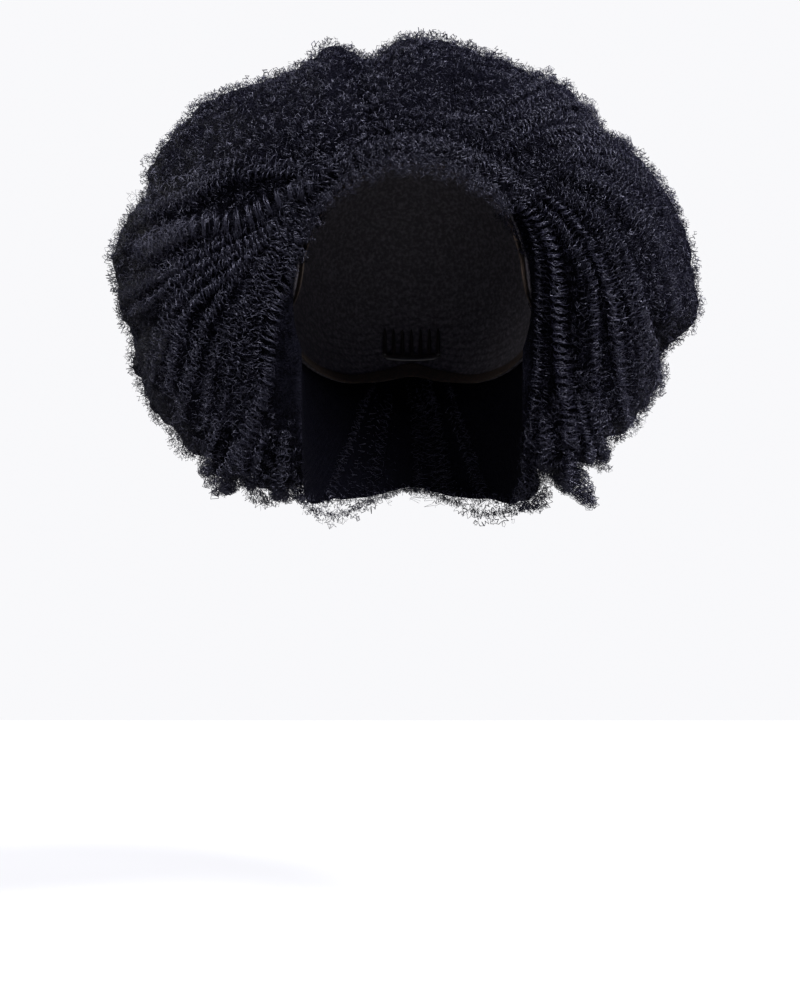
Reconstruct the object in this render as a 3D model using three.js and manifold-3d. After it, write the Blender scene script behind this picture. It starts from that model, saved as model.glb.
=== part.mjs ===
// A half wig of tightly coiled black hair: a net cap with its edge band, two combs inside it,
// and five sections of locks. Millimetres, +Z up, the wearer looks along -Y. The origin is the
// inside of the cap's crown, where the head bears.
import * as THREE from "three";
import { ParametricGeometry } from "three/addons/geometries/ParametricGeometry.js";
import { mergeVertices } from "three/addons/utils/BufferGeometryUtils.js";
import Module from "manifold-3d";

const wasm = await Module();
wasm.setup();

// The head that the cap is cut for: an ellipsoid about the head's centre, 550 mm around.
const HEAD_HALF = new THREE.Vector3(76, 97, 95);
const HEAD_CENTRE = new THREE.Vector3(0, 0, -HEAD_HALF.z);

// Cap and edge band
const CAP_WALL = 1.6;
const BAND_WALL = 1.2;
const BAND_WIDTH = 10;
const BAND_OVERHANG = 3.5;
const BAND_GAP = 0.7;
const SEWN_GAP = 0.5;
const HEAD_ROOM_GAP = 0.3;
const SEAM_ANGLE = 5;

// Combs
const COMB_WIDTH = 36;
const COMB_TEETH = 7;
const COMB_SPINE = 5;
const COMB_TOOTH_LENGTH = 17;
const COMB_THICKNESS = 1.6;
const COMB_TOOTH_SHARE = 0.55;
const COMB_GAP = 1.3;
const COMB_SEAM = 1;

// How far the hair stands from the head's centre to the front and to the back
const HAIR_FRONT = 104;
const HAIR_BACK = 172;

// The dense hair behind the tips fills this share of the way from the cap to the outline.
const BACKING_SHARE_FRONT = 0.76;
const BACKING_SHARE_BACK = 0.87;
const HAIRLINE_THICKNESS = 5;
const HAIRLINE_ROUNDING = 26;

// The neck and jaw that the hair hangs around
const NECK_HALF_WIDTH = 62;
const NECK_BACK = 60;
const FACE_DEPTH = 400;

// Faces around the head, and along it from the back to the edge
const AROUND = 36;
const CAP_ROWS = 9;
const HANGING_ROWS = 3;
const FACE_ROWS = 4;
const BACKING_ROWS = 8;

// The front outline of the hair: reach from the head's centre by clock angle, 0 at the top
// and 90 at the viewer's right.
const OUTLINE = [
  { clock: -180, reach: 146 },
  { clock: -150, reach: 156 },
  { clock: -120, reach: 170 },
  { clock: -90, reach: 171 },
  { clock: -60, reach: 160 },
  { clock: -30, reach: 135 },
  { clock: 0, reach: 133 },
  { clock: 30, reach: 134 },
  { clock: 60, reach: 146 },
  { clock: 90, reach: 164 },
  { clock: 120, reach: 159 },
  { clock: 150, reach: 154 },
  { clock: 180, reach: 146 },
];

// Where the cap's rim and the hair's edge run, as latitudes: -90 faces forwards and 90 back.
const EDGES = [
  { clock: 0, rim: -55, hair: -55 },
  { clock: 35, rim: -53, hair: -53 },
  { clock: 60, rim: -48, hair: -48 },
  { clock: 85, rim: -43, hair: -43 },
  { clock: 105, rim: -34, hair: -36 },
  { clock: 115, rim: -8, hair: -31 },
  { clock: 135, rim: 24, hair: -22 },
  { clock: 150, rim: 40, hair: -8 },
  { clock: 160, rim: 48, hair: 12 },
  { clock: 180, rim: 55, hair: 26 },
];

// How the locks droop: the clock angle at a lock's root, and at its tip.
const DROOP = [
  { root: 0, tip: 0 },
  { root: 35, tip: 37 },
  { root: 61, tip: 72 },
  { root: 85, tip: 112 },
  { root: 107, tip: 141 },
  { root: 135, tip: 160 },
  { root: 180, tip: 180 },
];

// The locks' tips are spread evenly over the outline, each a golden angle round from the last.
const LOCKS = 92;
const GOLDEN_ANGLE = 180 * (3 - Math.sqrt(5));
const LOCK_TIP_STAND = 2;
const LOCK_ROOT_DEPTH = 9;
const LOCK_BEND = 0.35;
const LOCK_BEND_REACH = 0.75;
const HAIRLINE_SWEEP = 0.22;
const LOCK_SIDES = 6;
const LOCK_STEPS = 5;

// A lock's radius: a share of the hair's depth where its tip is, up to a limit. It swells from
// its root for this share of its length, and rounds off to its tip from the second.
const LOCK_GIRTH = 20;
const LOCK_GIRTH_SHARE = 0.36;
const LOCK_ROOT_SHARE = 0.55;
const LOCK_SWELL_END = 0.6;
const LOCK_TIP_START = 0.7;
const LOCK_TIP_CROWDING = 1.3;

// The sections that the locks are sewn in: the clock angle between top and sides, and the
// depths between front and crown and between crown and back.
const TOP_HALF_ANGLE = 57;
const FRONT_DEPTH = -30;
const BACK_DEPTH = 84;
const SECTION_GAP = 0.4;
const SECTION_REACH = 420;

const radians = THREE.MathUtils.degToRad;

// A value between the rows of a table, on a smooth curve that keeps level at its two ends.
function between(table, key, column, at) {
  const last = table.length - 1;
  let i = 0;
  while (i < last - 1 && at > table[i + 1][key]) i += 1;
  const [low, high] = [table[i], table[i + 1]];
  const width = high[key] - low[key];
  const slope = (k) => {
    if (k <= 0 || k >= last) return 0;
    const rise = table[k + 1][column] - table[k - 1][column];
    return rise / (table[k + 1][key] - table[k - 1][key]);
  };
  const t = (at - low[key]) / width;
  const [t2, t3] = [t * t, t * t * t];
  return (
    low[column] * (2 * t3 - 3 * t2 + 1) +
    high[column] * (3 * t2 - 2 * t3) +
    width * (slope(i) * (t3 - 2 * t2 + t) + slope(i + 1) * (t3 - t2))
  );
}

const rimLatitude = (clock) => between(EDGES, "clock", "rim", Math.abs(clock));
const hairLatitude = (clock) => between(EDGES, "clock", "hair", Math.abs(clock));

// The unit vector at a clock angle about the front-to-back axis and a latitude along it.
function direction(clock, latitude) {
  const [c, l] = [radians(clock), radians(latitude)];
  return new THREE.Vector3(
    Math.sin(c) * Math.cos(l),
    Math.sin(l),
    Math.cos(c) * Math.cos(l),
  );
}

// Distance from the head's centre to its surface grown by a wall.
function headRadius(way, grown) {
  return 1 / Math.hypot(
    way.x / (HEAD_HALF.x + grown),
    way.y / (HEAD_HALF.y + grown),
    way.z / (HEAD_HALF.z + grown),
  );
}

// Distance to the hair's outer form, an ellipsoid whose front outline follows the table.
function outlineRadius(clock, way) {
  const reach = between(OUTLINE, "clock", "reach", clock);
  const depth = way.y < 0 ? HAIR_FRONT : HAIR_BACK;
  return 1 / Math.hypot(Math.hypot(way.x, way.z) / reach, way.y / depth);
}

// Distance to the hair's inner side: just off the cap, and below it around the jaw and neck.
function innerRadius(way) {
  const onCap = headRadius(way, CAP_WALL + SEWN_GAP);
  if (way.z >= 0) return onCap;
  const neckDepth = way.y > 0 ? NECK_BACK : FACE_DEPTH;
  return Math.max(onCap, 1 / Math.hypot(way.x / NECK_HALF_WIDTH, way.y / neckDepth));
}

const fromHead = (way, radius) => HEAD_CENTRE.clone().addScaledVector(way, radius);

// A latitude on the row that lies a share of the way from an edge to the back of the head.
const latitudeOn = (edge, share) => edge + share * (90 - edge);

// A closed body from a grid: shared corners merged, and faces with no area left out.
function closed(geometry) {
  geometry.deleteAttribute("normal");
  geometry.deleteAttribute("uv");
  const merged = mergeVertices(geometry, 1e-3);
  const kept = [];
  for (let i = 0; i < merged.index.count; i += 3) {
    const [a, b, c] = [0, 1, 2].map((k) => merged.index.getX(i + k));
    if (a !== b && b !== c && c !== a) kept.push(a, b, c);
  }
  return merged.setIndex(kept);
}

// A closed body as a solid that can be joined and cut, turned right side out.
function solid(geometry) {
  const body = closed(geometry);
  const triVerts = new Uint32Array(body.index.array);
  const vertProperties = new Float32Array(body.attributes.position.array);
  const made = new wasm.Manifold(new wasm.Mesh({ numProp: 3, vertProperties, triVerts }));
  if (made.volume() > 0) return made;
  triVerts.reverse();
  return new wasm.Manifold(new wasm.Mesh({ numProp: 3, vertProperties, triVerts }));
}

function geometryOf(body) {
  const { vertProperties, triVerts } = body.getMesh();
  return new THREE.BufferGeometry()
    .setAttribute("position", new THREE.BufferAttribute(vertProperties, 3))
    .setIndex(new THREE.BufferAttribute(triVerts, 1));
}

// A cup around the head: its outer side from the back of the head to the edge, then its inner
// side from the edge to the back. Each side gives a point by clock angle and row, 0 at the back.
function cup(outerRows, outerSide, innerRows, innerSide) {
  const rows = outerRows + innerRows + 1;
  return solid(
    new ParametricGeometry(
      (u, v, target) => {
        const clock = -180 + 360 * u;
        const row = Math.round(v * rows);
        if (row <= outerRows) target.copy(outerSide(clock, row));
        else target.copy(innerSide(clock, rows - row));
      },
      AROUND,
      rows,
    ),
  );
}

// The latitude of a row of the cap: even rows from the back of the head, and a narrow one at
// the rim, where the band is sewn.
function capLatitude(clock, row) {
  const rim = rimLatitude(clock);
  return row === CAP_ROWS ? rim : latitudeOn(rim + SEAM_ANGLE, 1 - row / (CAP_ROWS - 1));
}

function capPoint(clock, row, grown) {
  const way = direction(clock, capLatitude(clock, row));
  return fromHead(way, headRadius(way, grown));
}

function netCap() {
  return cup(
    CAP_ROWS,
    (clock, row) => capPoint(clock, row, CAP_WALL),
    CAP_ROWS,
    (clock, row) => capPoint(clock, row, 0),
  );
}

// The elastic edge band, sewn inside the rim and standing a little past it: a flat section
// carried around the rim. Across the band runs the way from the rim to the cap's back.
function edgeBand() {
  const corners = [
    { across: -BAND_OVERHANG, depth: BAND_GAP },
    { across: BAND_WIDTH - BAND_OVERHANG, depth: BAND_GAP },
    { across: BAND_WIDTH - BAND_OVERHANG, depth: BAND_GAP + BAND_WALL },
    { across: -BAND_OVERHANG, depth: BAND_GAP + BAND_WALL },
  ];
  const corner = (clock, { across, depth }) => {
    const rim = rimLatitude(clock);
    const way = direction(clock, rim);
    const on = fromHead(way, headRadius(way, -depth));
    const backWay = direction(clock, rim + SEAM_ANGLE);
    const along = fromHead(backWay, headRadius(backWay, -depth)).sub(on);
    return on.addScaledVector(along.normalize(), across);
  };
  return solid(
    new ParametricGeometry(
      (u, v, target) => {
        const clock = -180 + 360 * u;
        target.copy(corner(clock, corners[Math.round(v * corners.length) % corners.length]));
      },
      AROUND,
      corners.length,
    ),
  );
}

// A comb's outline: a spine with a row of straight teeth, its middle at the spine's edge.
function combOutline() {
  const pitch = COMB_WIDTH / (COMB_TEETH - 1 + COMB_TOOTH_SHARE);
  const tooth = pitch * COMB_TOOTH_SHARE;
  const shape = new THREE.Shape();
  const left = -COMB_WIDTH / 2;
  shape.moveTo(left, 0);
  for (let i = 0; i < COMB_TEETH; i += 1) {
    const start = left + i * pitch;
    shape.lineTo(start, COMB_TOOTH_LENGTH - tooth / 2);
    shape.lineTo(start + tooth / 2, COMB_TOOTH_LENGTH);
    shape.lineTo(start + tooth, COMB_TOOTH_LENGTH - tooth / 2);
    shape.lineTo(start + tooth, 0);
    if (i < COMB_TEETH - 1) shape.lineTo(start + pitch, 0);
  }
  for (let i = COMB_TEETH - 1; i >= 0; i -= 1) shape.lineTo(left + i * pitch, -COMB_SPINE);
  return shape;
}

// A comb laid on the cap's inner side: width runs around the head, and teeth away from the rim.
function comb(clock) {
  const geometry = new THREE.ExtrudeGeometry(combOutline(), {
    depth: COMB_THICKNESS,
    bevelEnabled: false,
  });
  const rim = rimLatitude(clock);
  const rimWay = direction(clock, rim);
  const radius = headRadius(rimWay, 0);
  const backWay = direction(clock, rim + 90);
  const aroundWay = new THREE.Vector3().crossVectors(backWay, rimWay);
  const fromRim = BAND_WIDTH - BAND_OVERHANG + COMB_SPINE + COMB_SEAM;
  const places = geometry.attributes.position;
  for (let i = 0; i < places.count; i += 1) {
    const turn = (fromRim + places.getY(i)) / radius;
    const way = aroundWay.clone().multiplyScalar(places.getX(i) / radius);
    way.addScaledVector(rimWay, Math.cos(turn)).addScaledVector(backWay, Math.sin(turn)).normalize();
    const depth = COMB_GAP + COMB_THICKNESS - places.getZ(i);
    const at = fromHead(way, headRadius(way, -depth));
    places.setXYZ(i, at.x, at.y, at.z);
  }
  return solid(geometry);
}

// The latitude of a row of the hair's inner side: the cap's rows, then the hanging hair's.
function innerLatitude(clock, row) {
  if (row <= CAP_ROWS) return capLatitude(clock, row);
  const hanging = (row - CAP_ROWS) / HANGING_ROWS;
  return THREE.MathUtils.lerp(rimLatitude(clock), hairLatitude(clock), hanging);
}

// The room for the head in its cap, which no lock reaches into.
function headRoom() {
  const hairRows = CAP_ROWS + HANGING_ROWS;
  const rows = hairRows + FACE_ROWS;
  return solid(
    new ParametricGeometry(
      (u, v, target) => {
        const clock = -180 + 360 * u;
        const row = Math.round(v * rows);
        const ahead = Math.max(row - hairRows, 0) / FACE_ROWS;
        const edge = innerLatitude(clock, Math.min(row, hairRows));
        const way = direction(clock, THREE.MathUtils.lerp(edge, -90, ahead));
        target.copy(fromHead(way, headRadius(way, CAP_WALL + HEAD_ROOM_GAP)));
      },
      AROUND,
      rows,
    ),
  );
}

// The backing: the dense hair on the cap that the locks grow out of, rounded at the hairline.
function backing() {
  const outer = (clock, row) => {
    const edge = hairLatitude(clock);
    const back = 1 - row / BACKING_ROWS;
    const latitude = latitudeOn(edge, back);
    const way = direction(clock, latitude);
    const inner = innerRadius(way);
    const filled = THREE.MathUtils.lerp(BACKING_SHARE_FRONT, BACKING_SHARE_BACK, Math.sqrt(back));
    const depth = Math.max(outlineRadius(clock, way) - inner, 0) * filled;
    const rise = Math.min((latitude - edge) / HAIRLINE_ROUNDING, 1);
    const share = Math.sqrt(1 - (1 - rise) ** 2);
    const thinnest = Math.min(depth, HAIRLINE_THICKNESS);
    return fromHead(way, inner + THREE.MathUtils.lerp(thinnest, depth, share));
  };
  const inner = (clock, row) => {
    const way = direction(clock, innerLatitude(clock, row));
    return fromHead(way, innerRadius(way));
  };
  return cup(BACKING_ROWS, outer, CAP_ROWS + HANGING_ROWS, inner);
}

// The path of a lock: out of the backing near its root, then drooping to its tip on the outline.
// Share is how far back the tip lies, from the hair's edge to the back of the head. Locks with
// tips near the edge all grow from the hairline, and sweep back from it.
function lockPath(tipClock, share) {
  const side = Math.sign(tipClock) || 1;
  const rootClock = side * between(DROOP, "tip", "root", Math.abs(tipClock));
  const bendClock = THREE.MathUtils.lerp(rootClock, tipClock, LOCK_BEND);
  const rootShare = Math.max((share - HAIRLINE_SWEEP) / (1 - HAIRLINE_SWEEP), 0);
  const bendShare = (rootShare + share) / 2;
  const rootWay = direction(rootClock, latitudeOn(rimLatitude(rootClock), rootShare));
  const bendWay = direction(bendClock, latitudeOn(hairLatitude(bendClock), bendShare));
  const tipWay = direction(tipClock, latitudeOn(hairLatitude(tipClock), share));
  const [bendInner, bendOuter] = [innerRadius(bendWay), outlineRadius(bendClock, bendWay)];
  return new THREE.QuadraticBezierCurve3(
    fromHead(rootWay, innerRadius(rootWay) + LOCK_ROOT_DEPTH),
    fromHead(bendWay, THREE.MathUtils.lerp(bendInner, bendOuter, LOCK_BEND_REACH)),
    fromHead(tipWay, outlineRadius(tipClock, tipWay) + LOCK_TIP_STAND),
  );
}

// A lock: a round bundle along its path that swells from its root and closes in a blunt tip.
function lock(path, girth) {
  const acrossWay = new THREE.Vector3().crossVectors(
    path.v1.clone().sub(path.v0),
    path.v2.clone().sub(path.v1),
  );
  if (acrossWay.length() < 1) acrossWay.crossVectors(path.getTangent(0), new THREE.Vector3(1, 0, 0));
  acrossWay.normalize();
  const radiusAt = (along) => {
    if (along <= 0 || along >= 1) return 0;
    const grown = Math.sin((Math.PI / 2) * Math.min(along / LOCK_SWELL_END, 1));
    const fall = Math.max((along - LOCK_TIP_START) / (1 - LOCK_TIP_START), 0);
    return girth * THREE.MathUtils.lerp(LOCK_ROOT_SHARE, 1, grown) * Math.sqrt(1 - fall * fall);
  };
  return solid(
    new ParametricGeometry(
      (u, v, target) => {
        const turn = 2 * Math.PI * u;
        const along = 1 - (1 - v) ** LOCK_TIP_CROWDING;
        const upWay = new THREE.Vector3().crossVectors(path.getTangent(along), acrossWay);
        const radius = radiusAt(along);
        target
          .copy(path.getPoint(along))
          .addScaledVector(acrossWay, radius * Math.cos(turn))
          .addScaledVector(upWay, radius * Math.sin(turn));
      },
      LOCK_SIDES,
      LOCK_STEPS,
    ),
  );
}

// The space that a section may fill: a wedge about the front-to-back axis between two clock
// angles, from one depth to another, drawn in by half the gap between sections.
function wedge(fromClock, toClock, fromDepth, toDepth) {
  const half = SECTION_GAP / 2;
  const middle = (fromClock + toClock) / 2;
  const out = (clock, reach) =>
    new THREE.Vector2(reach * Math.sin(radians(clock)), reach * Math.cos(radians(clock)));
  const apex = out(middle, half / Math.sin(radians((toClock - fromClock) / 2)));
  const rim = [fromClock, middle, toClock].map((clock) => out(clock, SECTION_REACH).add(apex));
  const shape = new THREE.Shape([apex, ...rim]);
  const geometry = new THREE.ExtrudeGeometry(shape, {
    depth: toDepth - fromDepth - SECTION_GAP,
    bevelEnabled: false,
  });
  geometry.rotateX(Math.PI / 2);
  geometry.translate(0, toDepth - half, HEAD_CENTRE.z);
  return solid(geometry);
}

// A block that holds all the hair behind a depth.
function behind(depth) {
  const geometry = new THREE.BoxGeometry(2 * SECTION_REACH, SECTION_REACH, 2 * SECTION_REACH);
  geometry.translate(0, depth + SECTION_GAP / 2 + SECTION_REACH / 2, HEAD_CENTRE.z);
  return solid(geometry);
}

const SECTIONS = [
  {
    name: "front_hair",
    space: wedge(-TOP_HALF_ANGLE, TOP_HALF_ANGLE, -SECTION_REACH, FRONT_DEPTH),
    holds: (tip, clock) => Math.abs(clock) < TOP_HALF_ANGLE && tip.y < FRONT_DEPTH,
  },
  {
    name: "crown_hair",
    space: wedge(-TOP_HALF_ANGLE, TOP_HALF_ANGLE, FRONT_DEPTH, BACK_DEPTH),
    holds: (tip, clock) =>
      Math.abs(clock) < TOP_HALF_ANGLE && tip.y >= FRONT_DEPTH && tip.y < BACK_DEPTH,
  },
  {
    name: "left_hair",
    space: wedge(-180, -TOP_HALF_ANGLE, -SECTION_REACH, BACK_DEPTH),
    holds: (tip, clock) => clock <= -TOP_HALF_ANGLE && tip.y < BACK_DEPTH,
  },
  {
    name: "right_hair",
    space: wedge(TOP_HALF_ANGLE, 180, -SECTION_REACH, BACK_DEPTH),
    holds: (tip, clock) => clock >= TOP_HALF_ANGLE && tip.y < BACK_DEPTH,
  },
  {
    name: "back_hair",
    space: behind(BACK_DEPTH),
    holds: (tip) => tip.y >= BACK_DEPTH,
  },
];

// Every lock with the place of its tip, which decides the section that it belongs to.
function allLocks() {
  return Array.from({ length: LOCKS }, (_, i) => {
    const clock = THREE.MathUtils.euclideanModulo(i * GOLDEN_ANGLE + 180, 360) - 180;
    const edge = hairLatitude(clock);
    const height = THREE.MathUtils.lerp(Math.sin(radians(edge)), 1, (i + 0.5) / LOCKS);
    const share = (THREE.MathUtils.radToDeg(Math.asin(height)) - edge) / (90 - edge);
    const path = lockPath(clock, share);
    const way = direction(clock, latitudeOn(edge, share));
    const depth = outlineRadius(clock, way) - innerRadius(way);
    const girth = Math.min(LOCK_GIRTH, LOCK_GIRTH_SHARE * depth);
    return { tip: path.v2, clock, body: lock(path, girth) };
  });
}

// The sections of hair. A crumb of a lock that a section's edge cuts off is left out.
function hairSections() {
  const dense = backing();
  const locks = allLocks();
  const room = headRoom();
  return SECTIONS.map(({ name, space, holds }) => {
    const own = locks.filter(({ tip, clock }) => holds(tip, clock)).map(({ body }) => body);
    const fused = own.reduce((all, body) => all.add(body), dense);
    const pieces = fused.intersect(space).subtract(room).decompose();
    return { name, body: pieces.sort((a, b) => b.volume() - a.volume())[0] };
  });
}

const HAIR_FINISH = { color: 0x121118, roughness: 0.62, metalness: 0 };
const NET_FINISH = { color: 0x0c0b0e, roughness: 0.9, metalness: 0 };
const BAND_FINISH = { color: 0x2a1c14, roughness: 0.85, metalness: 0 };
const COMB_FINISH = { color: 0x17120f, roughness: 0.35, metalness: 0 };

const wig = new THREE.Group();

function place(name, body, finish) {
  const mesh = new THREE.Mesh(geometryOf(body), new THREE.MeshStandardMaterial(finish));
  mesh.name = name;
  wig.add(mesh);
}

place("cap", netCap(), NET_FINISH);
place("edge_band", edgeBand(), BAND_FINISH);
place("front_comb", comb(0), COMB_FINISH);
place("nape_comb", comb(180), COMB_FINISH);
for (const { name, body } of hairSections()) place(name, body, HAIR_FINISH);

export default wig;
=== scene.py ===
"""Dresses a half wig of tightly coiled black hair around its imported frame.

Sizes are in millimetres and angles in degrees, and become metres where a mesh, lamp or camera
is written. The wig's front is along -Y, +Z is up, and the origin is the inside of the cap's crown.
A clock angle runs about the front-to-back axis, 0 at the top and 90 at the viewer's right, and a
latitude runs along it, -90 to the front and 90 to the back.
"""

import logging
import math
from dataclasses import dataclass, field, replace
from enum import Enum

import bpy
import numpy as np
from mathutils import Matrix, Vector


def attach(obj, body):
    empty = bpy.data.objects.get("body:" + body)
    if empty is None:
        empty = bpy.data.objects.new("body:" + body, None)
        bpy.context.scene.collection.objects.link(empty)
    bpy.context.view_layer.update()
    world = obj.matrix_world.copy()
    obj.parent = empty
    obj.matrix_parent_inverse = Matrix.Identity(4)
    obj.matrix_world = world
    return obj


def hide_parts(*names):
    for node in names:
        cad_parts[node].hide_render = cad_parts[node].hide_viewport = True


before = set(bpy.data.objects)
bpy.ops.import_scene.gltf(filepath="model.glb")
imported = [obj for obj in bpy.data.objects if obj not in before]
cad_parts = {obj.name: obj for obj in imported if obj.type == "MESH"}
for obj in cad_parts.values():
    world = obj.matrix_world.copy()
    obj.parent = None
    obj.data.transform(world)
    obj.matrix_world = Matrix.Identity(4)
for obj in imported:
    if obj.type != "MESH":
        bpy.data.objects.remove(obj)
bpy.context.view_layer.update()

LOG = logging.getLogger("half_wig")
MM = 0.001
BODY = "root"
BAKE_MAP = "OFBake"
GOLDEN_ANGLE = 180.0 * (3.0 - math.sqrt(5.0))
LENGTH_STEP = 10.0
LYING_BOW = 0.6
# A strand's cell on the bake map: its sides along and around, and the middle, half size and
# shift of its two ends.
MAP_ALONG = (0.05, 0.85)
MAP_AROUND = (0.05, 0.95)
MAP_END = (0.92, 0.5)
MAP_END_HALF = (0.04, 0.2)
MAP_END_SHIFT = (0.0, 0.25)
Array = np.ndarray
Random = np.random.Generator
Colour = tuple[float, float, float]


def unit(vectors: Array) -> Array:
    """Scales vectors to a length of one."""
    return vectors / np.maximum(np.linalg.norm(vectors, axis=-1, keepdims=True), 1e-9)


def blend(low: Array, high: Array, share: Array) -> Array:
    """Goes from low to high by a share from 0 to 1."""
    return low + (high - low) * share


def eased(share: Array) -> Array:
    """Rises from 0 to 1 with level ends, as 3s^2 - 2s^3."""
    held = np.clip(share, 0.0, 1.0)
    return held * held * (3.0 - 2.0 * held)


def fading(share: Array) -> Array:
    """Falls from 1 at half a share to 0 at the whole, with level ends."""
    return eased(2.0 - 2.0 * share)


def beside(vectors: Array, way: Array) -> Array:
    """Leaves the part of vectors that is square to unit vectors."""
    return vectors - way * (vectors * way).sum(axis=-1, keepdims=True)


def wrapped(clock: Array) -> Array:
    """Brings clock angles between -180 and 180."""
    return (clock + 180.0) % 360.0 - 180.0


def around_once(count: int) -> Array:
    """Gives one row of even clock angles, once around."""
    return np.linspace(-180.0, 180.0, count, endpoint=False)[None]


def direction(clock: Array, latitude: Array) -> Array:
    """Gives the unit vectors at clock angles and latitudes about the front-to-back axis.

    Args:
        clock: Angles from the top, towards the viewer's right.
        latitude: Angles from the widest level, towards the back.

    Returns:
        Vectors (sin c cos l, sin l, cos c cos l).
    """
    turn, tilt = np.radians(clock), np.radians(latitude)
    flat = np.cos(tilt)
    return np.stack([np.sin(turn) * flat, np.sin(tilt) + 0.0 * turn, np.cos(turn) * flat], axis=-1)


@dataclass(frozen=True)
class Curve:
    """A smooth curve through a short table, level at its two ends."""

    at: tuple[float, ...]
    value: tuple[float, ...]

    def __call__(self, x: Array) -> Array:
        """Reads the curve: cubic pieces whose slopes come from each row's neighbours.

        Args:
            x: Places along the table.

        Returns:
            The values there.
        """
        at, value = np.array(self.at, float), np.array(self.value, float)
        slope = np.zeros_like(value)
        slope[1:-1] = (value[2:] - value[:-2]) / (at[2:] - at[:-2])
        i = np.clip(np.searchsorted(at, x, side="right") - 1, 0, len(at) - 2)
        width = at[i + 1] - at[i]
        t = (x - at[i]) / width
        t2, t3 = t * t, t * t * t
        ends = value[i] * (2 * t3 - 3 * t2 + 1) + value[i + 1] * (3 * t2 - 2 * t3)
        return ends + width * (slope[i] * (t3 - 2 * t2 + t) + slope[i + 1] * (t3 - t2))


@dataclass(frozen=True)
class Tuft:
    """A lump, or a dip where its rise is negative, in the outer form of the hair."""

    clock: float
    latitude: float
    spread: float
    rise: float
    tall: float = 25.0


# The columns are a tuft's clock angle, latitude, spread around, rise, and spread along.
TUFTS = tuple(
    Tuft(*row)
    for row in (
        (-20, -5, 7, 7, 12), (-11, -5, 4, -11, 12), (4, -5, 9, 3, 12), (5, -25, 9, 4, 11),
        (17, -35, 6, -10, 8), (-18, -27, 4, -13, 13), (-26, -24, 5, 4, 10), (26, -27, 6, 4, 9),
        (-10, -43, 7, 4, 8), (40, 0, 3, 3), (54, 0, 5, -5), (98, 0, 4, 4), (108, 0, 4, -8),
        (132, 0, 3, -5), (136, 0, 2, 8), (138, 0, 1.6, -14), (142, 0, 2.4, 11),
        (146.8, 0, 1.8, -20), (152, 0, 4, 6), (-50, 0, 6, 3), (-74, 0, 3, -6), (-87, 0, 4, 4),
        (-103, 0, 3, -5), (-119, 0, 4, 2), (-124, 0, 2, -1), (-128, 0, 3, 4), (-133, 0, 2, -1),
        (-138, 0, 4, 8), (-142, 0, 1.5, -6), (-146, 0, 3, 4), (-154, 0, 4, -5),
        (-165, 5, 9, -8), (165, 5, 9, -8),
    )
)


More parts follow.
